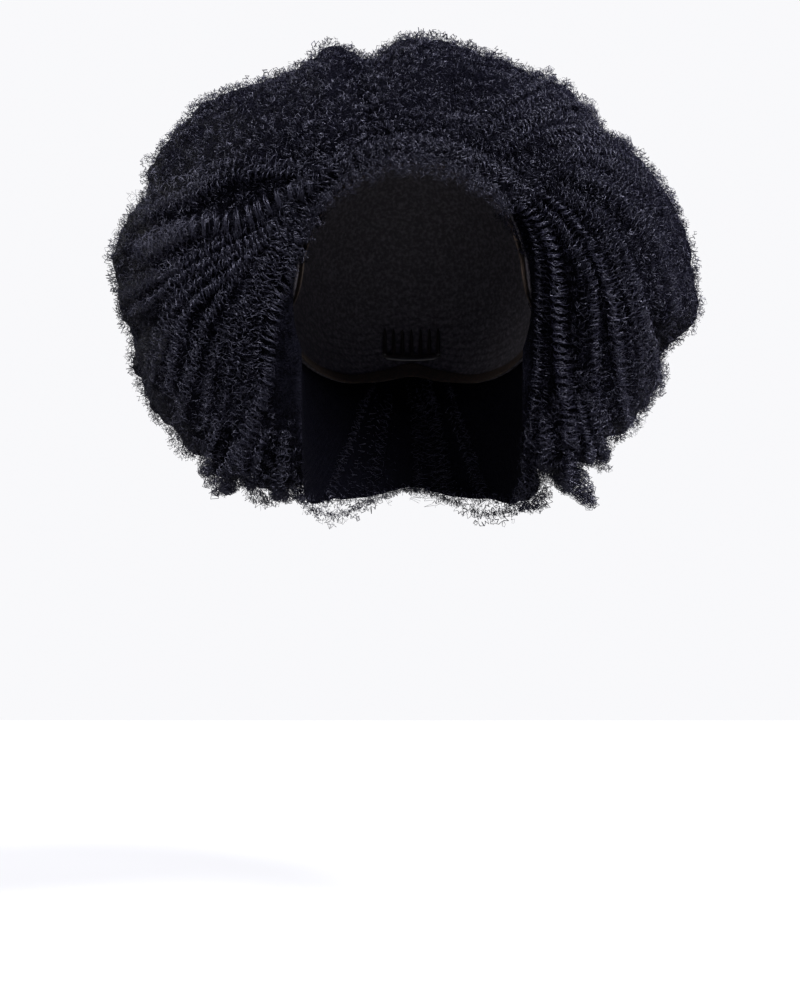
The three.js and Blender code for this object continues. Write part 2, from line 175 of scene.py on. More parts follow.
@dataclass(frozen=True)
class HairForm:
    """The ellipsoid that the cap's inside is cut to, and the form of the hair around it."""

    cap_half: tuple[float, float, float] = (76.0, 97.0, 95.0)
    cap_wall: float = 1.6
    sewn_gap: float = 0.5
    hair_front: float = 104.0
    hair_back: float = 172.0
    hollow_half_width: float = 62.0
    hollow_back: float = 60.0
    hollow_front: float = 400.0
    hairline_thickness: float = 5.0
    hairline_rounding: float = 18.0
    hem: float = -225.0
    reach: Curve = Curve(
        (-180, -150, -120, -90, -60, -30, 0, 30, 60, 90, 120, 150, 180),
        (146, 156, 170, 171, 160, 135, 133, 134, 146, 164, 159, 154, 146),
    )
    rim_edge: Curve = Curve(
        (0, 35, 60, 85, 105, 115, 135, 150, 160, 180),
        (-55, -53, -48, -43, -34, -8, 24, 40, 48, 55),
    )
    hair_edge: Curve = Curve(
        (0, 35, 60, 85, 105, 115, 135, 150, 160, 180),
        (-55, -53, -48, -43, -36, -31, -22, -8, 12, 26),
    )
    tufts: tuple[Tuft, ...] = TUFTS

    @property
    def centre(self) -> Array:
        """The centre of the cap's ellipsoid, under the origin."""
        return np.array([0.0, 0.0, -self.cap_half[2]])

    def cap_radius(self, way: Array, grown: float) -> Array:
        """Distance from the cap's centre to its ellipsoid, grown by a wall."""
        return 1.0 / np.linalg.norm(way / (np.array(self.cap_half) + grown), axis=-1)

    def cap_points(self, way: Array, grown: Array) -> Array:
        """Points on the cap's ellipsoid, grown by a wall that may vary."""
        half = np.array(self.cap_half) + grown[..., None]
        return self.centre + way / np.linalg.norm(way / half, axis=-1, keepdims=True)

    def inner_radius(self, way: Array) -> Array:
        """Finds the hair's inner side: just off the cap, and below it an upright hollow.

        Args:
            way: Unit vectors from the cap's centre.

        Returns:
            Distances, the larger of the grown cap's and the upright elliptic hollow's.
        """
        on_cap = self.cap_radius(way, self.cap_wall + self.sewn_gap)
        depth = np.where(way[..., 1] > 0, self.hollow_back, self.hollow_front)
        hollow = np.hypot(way[..., 0] / self.hollow_half_width, way[..., 1] / depth)
        low = np.where(way[..., 2] < 0, 1.0 / np.maximum(hollow, 1e-3), 0.0)
        return np.maximum(on_cap, low)

    def outline_radius(self, clock: Array, way: Array) -> Array:
        """Finds the hair's outer side: an ellipsoid whose front outline follows the reach.

        Args:
            clock: Clock angles.
            way: Unit vectors there.

        Returns:
            Distances from the cap's centre.
        """
        depth = np.where(way[..., 1] < 0, self.hair_front, self.hair_back)
        flat = np.hypot(way[..., 0], way[..., 2]) / self.reach(clock)
        return 1.0 / np.hypot(flat, way[..., 1] / depth)

    def tufted(self, clock: Array, latitude: Array) -> Array:
        """Adds up the tufts: each a bell of its rise over both angles to its middle.

        Args:
            clock: Clock angles.
            latitude: Latitudes.

        Returns:
            How far the tufts raise the hair there.
        """
        rise = np.zeros(np.broadcast(clock, latitude).shape)
        for tuft in self.tufts:
            around = (clock - tuft.clock) / tuft.spread
            back = (latitude - tuft.latitude) / tuft.tall
            rise += tuft.rise * np.exp(-(around**2) - back**2)
        return rise

    def place(self, clock: Array, share: Array, depth: Array, beyond: Array = 0.0) -> Array:
        """Finds points in the hair.

        Args:
            clock: Clock angles.
            share: How far back, from the hair's edge, 0, to the back of the cap, 1.
            depth: How far out, from the cap, 0, to the hair's surface, 1.
            beyond: How far out from there again, in millimetres.

        Returns:
            Points at the inner radius plus depth times the hair's thickness. The thickness
            rises from the hairline's as a quarter circle over the rounding angle.
        """
        edge = self.hair_edge(np.abs(clock))
        latitude = edge + share * (90.0 - edge)
        way = direction(clock, latitude)
        inner = self.inner_radius(way)
        whole = self.outline_radius(clock, way) - inner + self.tufted(clock, latitude)
        whole = np.maximum(whole, 0.0)
        near = np.clip((latitude - edge) / self.hairline_rounding, 0.0, 1.0)
        thin = np.minimum(whole, self.hairline_thickness)
        thickness = blend(thin, whole, np.sqrt(1.0 - (1.0 - near) ** 2))
        return self.centre + way * np.maximum(inner + depth * thickness + beyond, inner)[..., None]

    def even_tips(self, count: int, first: float, crowd: float = 0.0) -> tuple[Array, Array]:
        """Spreads tips evenly over the outer form, each a golden angle round from the last.

        Args:
            count: Number of tips.
            first: Share of the way back where they start.
            crowd: How much closer they are at the front, 0 for evenly.

        Returns:
            Clock angles, and shares of the way back.
        """
        order = np.arange(count)
        clock = wrapped(order * GOLDEN_ANGLE)
        edge = self.hair_edge(np.abs(clock))
        start = np.sin(np.radians(edge + first * (90.0 - edge)))
        turn = (order + 0.5) / count
        turn = (turn + crowd * turn**2) / (1.0 + crowd)
        latitude = np.degrees(np.arcsin(blend(start, 1.0, turn)))
        return clock, (latitude - edge) / (90.0 - edge)


@dataclass
class FrontMap:
    """The front of the hair as seen from the front: from its inner edge, 0, to its outline, 1."""

    form: HairForm
    clocks: int = 181
    shares: int = 260
    least_share: float = -0.09
    most_share: float = 0.45
    outs: int = 64

    def __post_init__(self) -> None:
        """Tables, for each clock angle, the share back that is seen at each way out."""
        self.clock = np.linspace(-180.0, 180.0, self.clocks)
        share = np.linspace(self.least_share, self.most_share, self.shares)
        grid = np.broadcast_arrays(self.clock[:, None], share[None], 1.0)
        points = self.form.place(*grid) - self.form.centre
        across = np.maximum.accumulate(np.hypot(points[..., 0], points[..., 2]), axis=1)
        self.low, self.high = across[:, 0], across[:, -1]
        out = np.linspace(0.0, 1.0, self.outs)
        rows = [np.interp(blend(row[0], row[-1], out), row, share) for row in across]
        self.table = np.array(rows)

    def reach(self, clock: Array, out: Array) -> Array:
        """Distance from the front-to-back axis at a clock angle and a way out."""
        low, high = (np.interp(clock, self.clock, row) for row in (self.low, self.high))
        return blend(low, high, out)

    def seen(self, x: Array, z: Array) -> tuple[Array, Array]:
        """Finds the clock angles and shares back of places seen from the front.

        Args:
            x: Places across, from the cap's centre.
            z: Places up, from the cap's centre.

        Returns:
            Clock angles, and shares read from the table between its four nearest rows.
        """
        clock = np.degrees(np.arctan2(x, z))
        low, high = self.reach(clock, 0.0), self.reach(clock, 1.0)
        out = (np.hypot(x, z) - low) / np.maximum(high - low, 1e-3)
        out = np.clip(out, 0.0, 1.0) * (self.outs - 1)
        turn = (clock + 180.0) / 360.0 * (self.clocks - 1)
        i = np.minimum(turn.astype(int), self.clocks - 2)
        k = np.minimum(out.astype(int), self.outs - 2)
        first = blend(self.table[i, k], self.table[i, k + 1], out - k)
        second = blend(self.table[i + 1, k], self.table[i + 1, k + 1], out - k)
        return clock, blend(first, second, turn - i)


class Section(Enum):
    """The sewn sections of hair, by the node that each stands for."""

    FRONT = "front_hair"
    CROWN = "crown_hair"
    LEFT = "left_hair"
    RIGHT = "right_hair"
    BACK = "back_hair"


@dataclass(frozen=True)
class SectionLines:
    """Where the sections of hair part."""

    top_half_angle: float = 57.0
    front_depth: float = -30.0
    back_depth: float = 84.0

    def holds(self, section: Section, clock: Array, tips: Array) -> Array:
        """Tells which curls a section holds.

        Args:
            section: The section.
            clock: Clock angles of the curls.
            tips: Places of their tips.

        Returns:
            True for each curl whose tip lies in the section.
        """
        back = tips[:, 1] >= self.back_depth
        top = np.abs(clock) < self.top_half_angle
        ahead = tips[:, 1] < self.front_depth
        return {
            Section.FRONT: top & ahead,
            Section.CROWN: top & ~ahead & ~back,
            Section.LEFT: ~top & (clock < 0) & ~back,
            Section.RIGHT: ~top & (clock >= 0) & ~back,
            Section.BACK: back,
        }[section]


class NodeSheet:
    """A node tree with short ways to add and join nodes."""

    def __init__(self, tree: bpy.types.NodeTree) -> None:
        """Keeps the tree."""
        self.tree = tree

    def fill(self, node: bpy.types.Node, inputs: dict) -> None:
        """Fills a node's inputs.

        Args:
            node: The node.
            inputs: A value or an output socket for inputs, by name or number.
        """
        for key, value in inputs.items():
            if isinstance(value, bpy.types.NodeSocket):
                self.tree.links.new(value, node.inputs[key])
            else:
                node.inputs[key].default_value = value

    def add(self, kind: str, inputs: dict | None = None, **settings: object) -> bpy.types.Node:
        """Adds a node.

        Args:
            kind: The node's type.
            inputs: A value or an output socket for inputs, by name or number.
            settings: The node's own settings.

        Returns:
            The node.
        """
        node = self.tree.nodes.new(kind)
        for name, value in settings.items():
            setattr(node, name, value)
        self.fill(node, inputs or {})
        return node

    def mix(self, share: object, low: object, high: object) -> bpy.types.NodeSocket:
        """Mixes two colours by a share, and gives the mixed colour."""
        node = self.add("ShaderNodeMix", {0: share, 6: low, 7: high}, data_type="RGBA")
        return node.outputs[2]

    def ranged(self, inputs: dict) -> bpy.types.NodeSocket:
        """Spreads input 0 from the range in inputs 1 and 2 over the range in inputs 3 and 4."""
        return self.add("ShaderNodeMapRange", inputs).outputs[0]

    def math(self, operation: str, *values: object) -> bpy.types.NodeSocket:
        """Works on one or two values, and gives the result."""
        return self.add("ShaderNodeMath", dict(enumerate(values)), operation=operation).outputs[0]

    def attribute(self, name: str) -> bpy.types.NodeSocket:
        """Reads a mesh's attribute."""
        return self.add("ShaderNodeAttribute", attribute_name=name).outputs["Fac"]


def rgba(colour: Colour) -> tuple[float, float, float, float]:
    """A solid colour with its alpha."""
    return (*colour, 1.0)


CLOUD_DETAIL = 3.0
FLECK_RANGE = (0.42, 0.7)
CURL_WAVES = 34.0
CURL_SHARPNESS = 3.0


class Grain(Enum):
    """Shared effects that materials place with their own values."""

    FLECK = "fleck"
    CURL = "curl"

    def group(self) -> bpy.types.NodeTree:
        """Gives the effect's node group, which is built once.

        Returns:
            A group with a Scale input and Value and Height outputs. Fleck is the top of fine
            cloudy noise. Curl is the sine of a cloud many times over, whose crests are loops.
        """
        found = bpy.data.node_groups.get(self.value)
        if found:
            return found
        tree = bpy.data.node_groups.new(self.value, "ShaderNodeTree")
        tree.interface.new_socket("Scale", in_out="INPUT", socket_type="NodeSocketFloat")
        for name in ("Value", "Height"):
            tree.interface.new_socket(name, in_out="OUTPUT", socket_type="NodeSocketFloat")
        sheet = NodeSheet(tree)
        scale = sheet.add("NodeGroupInput").outputs["Scale"]
        place = sheet.add("ShaderNodeTexCoord").outputs["Object"]
        noise = {"Vector": place, "Scale": scale, "Detail": CLOUD_DETAIL}
        height = sheet.add("ShaderNodeTexNoise", noise).outputs[0]
        if self is Grain.FLECK:
            value = sheet.ranged({0: height, 1: FLECK_RANGE[0], 2: FLECK_RANGE[1]})
        else:
            height = sheet.math("SINE", sheet.math("MULTIPLY", height, CURL_WAVES))
            value = sheet.math("POWER", sheet.ranged({0: height, 1: -1.0}), CURL_SHARPNESS)
        sheet.add("NodeGroupOutput", {"Value": value, "Height": height})
        return tree


@dataclass(frozen=True)
class Finish:
    """A material whose colour and roughness follow a share, with a fine relief."""

    name: str
    dark: Colour
    light: Colour
    roughness: tuple[float, float]
    specular: float
    grain: Grain
    scale: float
    relief: float
    shine: Colour = (1.0, 1.0, 1.0)

    def share(self, sheet: NodeSheet, grain: bpy.types.NodeSocket) -> bpy.types.NodeSocket:
        """Gives the share of light at each place, which is the grain."""
        return grain

    def material(self) -> bpy.types.Material:
        """Makes the material.

        Returns:
            The material. Its colour and roughness go over their ranges by the share, and the
            grain's height raises its relief.
        """
        material = bpy.data.materials.new(self.name)
        material.use_nodes = True
        sheet = NodeSheet(material.node_tree)
        grain = sheet.add("ShaderNodeGroup", {"Scale": self.scale}, node_tree=self.grain.group())
        share = self.share(sheet, grain.outputs["Value"])
        height = {"Height": grain.outputs["Height"], "Distance": self.relief * MM, "Strength": 1.0}
        inputs = {
            "Base Color": sheet.mix(share, rgba(self.dark), rgba(self.light)),
            "Roughness": sheet.ranged({0: share, 3: self.roughness[0], 4: self.roughness[1]}),
            "Normal": sheet.add("ShaderNodeBump", height).outputs[0],
            "Specular IOR Level": self.specular,
            "Specular Tint": rgba(self.shine),
        }
        sheet.fill(material.node_tree.nodes["Principled BSDF"], inputs)
        return material


@dataclass(frozen=True)
class HairFinish(Finish):
    """Hair fibre, light in flecks and at its tips, the more so the higher its tint of random tone
    and painted light and shade.
    """

    tip_power: float = 3.0

    def share(self, sheet: NodeSheet, grain: bpy.types.NodeSocket) -> bpy.types.NodeSocket:
        """Gives the tint times the larger of the grain and a power of the way along."""
        late = sheet.math("POWER", sheet.attribute("along"), self.tip_power)
        return sheet.math("MULTIPLY", sheet.math("MAXIMUM", grain, late), sheet.attribute("tint"))


@dataclass(frozen=True)
class FloorFinish(Finish):
    """A pale floor that is evenly lit, so part of its light is its own."""

    glow: float = 3.6

    def material(self) -> bpy.types.Material:
        """Makes the material, and adds an even light that only the camera sees.

        Returns:
            The material.
        """
        material = super().material()
        sheet = NodeSheet(material.node_tree)
        ray = sheet.add("ShaderNodeLightPath").outputs["Is Camera Ray"]
        tone = sheet.mix(ray, rgba((0.0, 0.0, 0.0)), rgba(self.light))
        shader = material.node_tree.nodes["Principled BSDF"]
        sheet.fill(shader, {"Emission Color": tone, "Emission Strength": self.glow})
        return material


COOL_SHINE = (0.76, 0.76, 1.0)
HAIR = HairFinish(
    name="coiled_hair", grain=Grain.FLECK, scale=420.0, relief=0.25, specular=0.72,
    dark=(0.0009, 0.0009, 0.0040), light=(0.0130, 0.0125, 0.0240), roughness=(0.5, 0.17),
    shine=COOL_SHINE,
)
# A darker, duller copy of the hair material, as painted shade: for the dense form under the curls
# and for the curls on the steep front.
SHADED_DENSE_HAIR = HairFinish(
    name="shaded_dense_hair", grain=Grain.CURL, scale=330.0, relief=0.5, specular=0.05,
    dark=(0.0004, 0.0004, 0.0016), light=(0.0125, 0.0120, 0.0205), roughness=(0.6, 0.4),
    shine=COOL_SHINE,
)
NET = Finish(
    name="cap_net", grain=Grain.FLECK, scale=500.0, relief=0.3, specular=0.2,
    dark=(0.030, 0.027, 0.031), light=(0.080, 0.072, 0.082), roughness=(0.7, 0.9),
)
BAND = Finish(
    name="elastic_band", grain=Grain.FLECK, scale=700.0, relief=0.3, specular=0.25,
    dark=(0.012, 0.008, 0.006), light=(0.034, 0.021, 0.015), roughness=(0.7, 0.9),
)
COMB = Finish(
    name="comb_plastic", grain=Grain.FLECK, scale=250.0, relief=0.05, specular=0.5,
    dark=(0.008, 0.006, 0.005), light=(0.014, 0.010, 0.009), roughness=(0.3, 0.42),
)
FLOOR = FloorFinish(
    name="pale_floor", grain=Grain.FLECK, scale=8.0, relief=0.1, specular=0.2,
    dark=(0.22, 0.22, 0.225), light=(0.24, 0.24, 0.245), roughness=(0.6, 0.7),
)


def make_object(mesh: bpy.types.Mesh, finish: bpy.types.Material) -> bpy.types.Object:
    """Puts a mesh in the scene under its own name, smooth and dressed.

    Args:
        mesh: The mesh, in place.
        finish: Its material.

    Returns:
        The object.
    """
    mesh.materials.append(finish)
    mesh.shade_smooth()
    made = bpy.data.objects.new(mesh.name, mesh)
    bpy.context.scene.collection.objects.link(made)
    return made


def keep(piece: bpy.types.Object, slot: str, *nodes: str) -> None:
    """Rides a piece on the wig's body, hides the nodes that it stands for, and logs their names with
    its triangles.

    Args:
        piece: The piece.
        slot: Not used.
        nodes: The nodes that it replaces.
    """
    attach(piece, BODY)
    if nodes:
        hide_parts(*nodes)
    triangles = sum(len(face.vertices) - 2 for face in piece.data.polygons)
    LOG.info("%s: %d triangles, for %s", piece.name, triangles, ", ".join(nodes) or "no node")


def set_values(mesh: bpy.types.Mesh, name: str, values: Array) -> None:
    """Writes a value for each vertex as a named attribute."""
    made = mesh.attributes.new(name, "FLOAT", "POINT")
    made.data.foreach_set("value", values.astype(np.float32))


def grid_mesh(name: str, rows: Array, poles: bool, tint: Array | None = None) -> bpy.types.Mesh:
    """Makes a closed mesh from a grid of points that closes round its columns.

    Args:
        name: The mesh's name.
        rows: Points by row and column, in millimetres.
        poles: Whether the first and last rows are poles. If not, the last row joins the first.
        tint: Values from 0 to 1 by row and column, if any.

    Returns:
        The mesh, with its faces outwards.
    """
    count, around = rows.shape[:2]
    index = np.arange(count * around).reshape(count, around)
    if poles:
        index[0, :], index[-1, :] = index[0, 0], index[-1, 0]
        lower, upper = index[:-1], index[1:]
    else:
        lower, upper = index, np.roll(index, -1, axis=0)
    quads = np.stack(
        [lower, np.roll(lower, -1, axis=1), np.roll(upper, -1, axis=1), upper], axis=-1
    ).reshape(-1, 4)
    points = rows.reshape(-1, 3)
    a, b, c, d = (points[quads[:, k]] for k in range(4))
    volume = (np.cross(b - a, d - a) + np.cross(d - c, b - c)) * (a + b + c + d)
    if volume.sum() < 0:
        quads = quads[:, ::-1]
    used, packed = np.unique(quads, return_inverse=True)
    faces = [tuple(dict.fromkeys(face)) for face in packed.reshape(-1, 4).tolist()]
    mesh = bpy.data.meshes.new(name)
    mesh.from_pydata((points[used] * MM).tolist(), [], faces)
    if tint is not None:
        set_values(mesh, "tint", tint.ravel()[used])
    return mesh


@dataclass
class StrandMesh:
    """Closed tubes, each a profile carried along its own path, gathered into one mesh."""

    rings: list[Array] = field(default_factory=list)
    tints: list[Array] = field(default_factory=list)

    def add(self, path: Array, outward: Array, profile: Array, size: Array, tint: Array) -> None:
        """Carries a profile along paths: each ring is the path plus the profile's two axes.

        Args:
            path: Points by tube and step.
            outward: The way that the profile's second axis faces, by tube and step.
            profile: Corners of the section, counter-clockwise from its top, in unit sizes.
            size: Width and thickness by tube and step.
            tint: A value from 0 to 1 for each tube.
        """
        heading = unit(np.gradient(path, axis=1))
        across = unit(np.cross(heading, outward))
        top = np.cross(across, heading)
        wide = (across * size[..., :1])[:, :, None] * profile[:, :1]
        thick = (top * size[..., 1:])[:, :, None] * profile[:, 1:]
        self.rings.append(path[:, :, None] + wide + thick)
        self.tints.append(tint)

    @staticmethod
    def _faces(shape: tuple[int, ...], first: int) -> tuple[Array, Array]:
        """Lays out the faces of tubes of one length.

        Args:
            shape: Number of tubes, steps and corners.
            first: The first corner's number.

        Returns:
            Side faces of four corners by tube, step and side, and end faces by tube and end.
        """
        index = np.arange(np.prod(shape)).reshape(shape) + first
        after = np.roll(index, -1, axis=2)
        sides = np.stack([index[:, :-1], after[:, :-1], after[:, 1:], index[:, 1:]], axis=-1)
        ends = np.stack([index[:, 0, ::-1], index[:, -1]], axis=1)
        return sides, ends

    @staticmethod
    def _map(shape: tuple[int, ...], cells: Array, size: Array) -> tuple[Array, Array]:
        """Lays each tube flat in a cell of its own on the bake map.

        Args:
            shape: Number of tubes, steps and corners.
            cells: The cells' low corners.
            size: The cells' width and height.

        Returns:
            Places of the side faces' corners, and of the end faces' corners.
        """
        _, steps, corners = shape
        step, turn = np.linspace(*MAP_ALONG, steps), np.linspace(*MAP_AROUND, corners + 1)
        flat = np.stack(np.meshgrid(step, turn, indexing="ij"), axis=-1)
        sides = np.stack([flat[:-1, :-1], flat[:-1, 1:], flat[1:, 1:], flat[1:, :-1]], axis=-2)
        angle = 2.0 * np.pi * np.arange(corners) / corners
        disc = np.stack([np.cos(angle), np.sin(angle)], axis=-1) * MAP_END_HALF + MAP_END
        ends = np.stack([disc[::-1] - MAP_END_SHIFT, disc + MAP_END_SHIFT], axis=0)
        low = cells[:, None, None, :]
        return low[:, :, None] + sides[None] * size, low + ends[None] * size

    def mesh(self, name: str) -> bpy.types.Mesh:
        """Writes the tubes as one mesh, with tint and along attributes and a bake map.

        Args:
            name: The mesh's name.

        Returns:
            The mesh.
        """
        tubes = sum(len(tint) for tint in self.tints)
        columns = int(np.ceil(np.sqrt(tubes / 2.0)))
        cell = np.array([1.0 / columns, 1.0 / np.ceil(tubes / columns)])
        order = np.arange(tubes)
        cells = np.stack([order % columns, order // columns], axis=-1) * cell
        sides, ends, side_map, end_map, tints, along = ([] for _ in range(6))
        first, tube = 0, 0
        for rings, tint in zip(self.rings, self.tints):
            shape = rings.shape[:3]
            flat = self._map(shape, cells[tube : tube + shape[0]], cell)
            stores = (sides, ends, side_map, end_map)
            for store, part in zip(stores, (*self._faces(shape, first), *flat)):
                store.append(part.reshape(-1, part.shape[-1]))
            step = np.linspace(0.0, 1.0, shape[1])[None, :, None]
            along.append(np.broadcast_to(step, shape).ravel())
            tints.append(np.repeat(tint, shape[1] * shape[2]))
            first, tube = first + rings.size // 3, tube + shape[0]
        corners = np.concatenate([part.ravel() for part in sides + ends])
        counts = np.concatenate([np.full(len(part), part.shape[1]) for part in sides + ends])
        points = np.concatenate([rings.reshape(-1, 3) for rings in self.rings]) * MM
        mesh = bpy.data.meshes.new(name)
        mesh.vertices.add(len(points))
        mesh.vertices.foreach_set("co", points.astype(np.float32).ravel())
        mesh.loops.add(len(corners))
        mesh.loops.foreach_set("vertex_index", corners.astype(np.int32))
        mesh.polygons.add(len(counts))
        mesh.polygons.foreach_set("loop_start", (np.cumsum(counts) - counts).astype(np.int32))
        mesh.update(calc_edges=True)
        set_values(mesh, "tint", np.concatenate(tints))
        set_values(mesh, "along", np.concatenate(along))
        places = np.concatenate(side_map + end_map).astype(np.float32)
        mesh.uv_layers.new(name=BAKE_MAP, do_init=False).uv.foreach_set("vector", places.ravel())
        return mesh


STRAND_PROFILE = np.array([(0.0, 0.7), (0.5, -0.3), (-0.5, -0.3)])


@dataclass(frozen=True)
class Coil:
    """How strands wind about a rope of hair."""

    strands: int
    radius: float
    pitch: float
    steps_per_turn: int
    width: float
    thickness: float
    spread: float
    phase_spread: float
    wobble: float
    kink: float
    root_swell: float
    tip_swell: float
    mixed: bool = False
    stray: float = 0.5
    uneven: float = 0.12
    pulse: float = 0.15
    wobble_turns: float = 4.0
    pulse_turns: float = 3.0
    root_phase: float = 0.7
    root_spread: float = 0.6
    swell_part: float = 0.35
    rope_sizes: tuple[float, float] = (0.8, 1.2)
    strand_sizes: tuple[float, float] = (0.75, 1.25)
    strand_tints: tuple[float, float] = (0.3, 1.0)
    root_width: float = 0.5
    tip_width: float = 0.3
    root_part: float = 0.1

    def steps(self, length: float) -> int:
        """Number of points along a strand on a rope of this length."""
        return int(round(length / self.pitch * self.steps_per_turn)) + 1

    def wind(self, path: Array, rng: Random) -> tuple[Array, Array]:
        """Winds strands about ropes: each is a helix whose turn and radius waver along it.

        Args:
            path: Points by rope and step.
            rng: Source of the wavering.

        Returns:
            Points by strand and step, and the way out from the rope at each.
        """
        count, steps = path.shape[:2]
        shape = (count, self.strands, 1)
        along = np.linspace(0.0, 1.0, steps)
        heading = unit(np.gradient(path, axis=1))
        side = unit(beside(rng.normal(size=(count, 3)), unit(path[:, -1] - path[:, 0])))
        across = unit(np.cross(side[:, None], heading))[:, None]
        up = np.cross(heading[:, None], across)
        turns = (steps - 1) / self.steps_per_turn
        hand = rng.choice((-1.0, 1.0), size=(count, self.strands if self.mixed else 1, 1))
        hand = hand * (1.0 + self.mixed * self.uneven * rng.normal(size=shape))
        start = rng.uniform(0.0, 2 * np.pi, (count, 1, 1))
        start = start + rng.normal(0, self.phase_spread, shape) * (self.root_phase + along)
        shared = rng.uniform(size=(count, 1, 1)) + self.stray * rng.uniform(size=shape)
        slow = np.sin(2 * np.pi * (turns / self.wobble_turns * along + shared))
        turn = start + hand * 2 * np.pi * turns * along + self.wobble * slow
        beat = np.sin(2 * np.pi * (turns / self.pulse_turns * along + rng.uniform(size=shape)))
        grown = blend(self.root_swell, 1.0, eased(along / self.swell_part))
        late = (along - (1.0 - self.swell_part)) / self.swell_part
        closing = blend(1.0, self.tip_swell, eased(late))
        own = 1.0 + self.uneven * rng.normal(size=shape)
        own = own * rng.uniform(*self.rope_sizes, (count, 1, 1))
        radius = self.radius * own * grown * closing * (1.0 + self.pulse * beat)
        apart = rng.normal(0, self.spread, (2, *shape)) * (self.root_spread + along)
        out = across * np.cos(turn)[..., None] + up * np.sin(turn)[..., None]
        points = path[:, None] + out * radius[..., None]
        points += across * apart[0][..., None] + up * apart[1][..., None]
        points += rng.normal(0, self.kink, points.shape) * (1.0 + along[:, None])
        return points.reshape(-1, steps, 3), out.reshape(-1, steps, 3)

    def lay(self, mesh: StrandMesh, path: Array, rng: Random, tint: Array | float = 1.0) -> None:
        """Adds the strands of ropes to a mesh, each thinning to its root and tip.

        Args:
            mesh: Where the strands go.
            path: Points by rope and step.
            rng: Source of the wavering.
            tint: The most tint of each rope's strands, from 0 to 1.
        """
        points, out = self.wind(path, rng)
        along = np.linspace(0.0, 1.0, path.shape[1])
        root = blend(self.root_width, 1.0, eased(along / self.root_part))
        taper = np.minimum(root, blend(1.0, self.tip_width, eased(along - self.root_part)))
        own = rng.uniform(*self.strand_sizes, (len(points), 1))
        size = np.stack([own * taper * self.width, own * taper * self.thickness], axis=-1)
        most = np.repeat(np.broadcast_to(tint, len(path)), self.strands)
        tints = most * rng.uniform(*self.strand_tints, len(points))
        mesh.add(points, out, STRAND_PROFILE, size, tints)


NEAT_COIL = Coil(
    strands=8, radius=3.7, pitch=4.5, steps_per_turn=8, width=0.46, thickness=0.34, spread=1.15,
    phase_spread=0.62, wobble=1.0, kink=0.5, root_swell=0.7, tip_swell=1.2,
)
LOOSE_COIL = Coil(
    strands=7, radius=2.15, pitch=3.5, steps_per_turn=4, width=0.48, thickness=0.36, spread=1.9,
    phase_spread=1.0, wobble=1.2, kink=0.5, root_swell=0.8, tip_swell=1.1,
)
NAPE_COIL = Coil(
    strands=4, radius=2.4, pitch=3.6, steps_per_turn=3, width=0.5, thickness=0.36, spread=1.8,
    phase_spread=3.0, wobble=1.0, kink=0.3, root_swell=0.6, tip_swell=1.2, mixed=True,
)
SMALL_COIL = Coil(
    strands=1, radius=1.7, pitch=2.5, steps_per_turn=3, width=0.5, thickness=0.36, spread=0.4,
    phase_spread=0.0, wobble=0.8, kink=0.2, root_swell=0.8, tip_swell=0.75,
)
STRAY_COIL = Coil(
    strands=1, radius=1.3, pitch=2.2, steps_per_turn=3, width=0.34, thickness=0.26, spread=0.4,
    phase_spread=1.0, wobble=1.0, kink=0.12, root_swell=0.8, tip_swell=0.9,
)
HAIRLINE_COIL = replace(
    STRAY_COIL, strands=2, radius=2.1, pitch=3.0, width=0.5, thickness=0.36, root_swell=0.9,
    tip_swell=0.8,
)
BROAD_STRETCH = 1.35
BROAD_PHASE_SPREAD = 0.45


def resampled(rows: Array, steps: int) -> Array:
    """Reads paths again at steps of even length.

    Args:
        rows: Points by path and step.
        steps: The new number of steps.

    Returns:
        Points by path and new step, straight between the old ones.
    """
    gaps = np.linalg.norm(np.diff(rows, axis=1), axis=-1)
    far = np.concatenate([np.zeros((len(rows), 1)), np.cumsum(gaps, axis=1)], axis=1)
    even = np.linspace(0.0, 1.0, steps)
    paths = [
        np.stack([np.interp(even * reach[-1], reach, row[:, k]) for k in range(3)], axis=-1)
        for row, reach in zip(rows, far)
    ]
    return np.array(paths)


class Winding(Enum):
    """How well the strands of a lock keep together, by the coil that they follow."""

    BROAD = replace(
        NEAT_COIL, radius=NEAT_COIL.radius * BROAD_STRETCH, pitch=NEAT_COIL.pitch * BROAD_STRETCH,
        phase_spread=BROAD_PHASE_SPREAD,
    )
    NEAT = NEAT_COIL
    LOOSE = LOOSE_COIL


@dataclass(frozen=True)
class Lock:
    """A large lock at the front, by places that it passes as seen from there.

    Places are across and up from the cap's centre.
    """

    places: tuple[tuple[float, float], ...]
    winding: Winding = Winding.LOOSE
    columns: int = 2
    sunk: float = 3.5
    # How light the lock's strands are painted: above 1 a painted highlight, below 1 painted shade.
    tint: float = 1.0
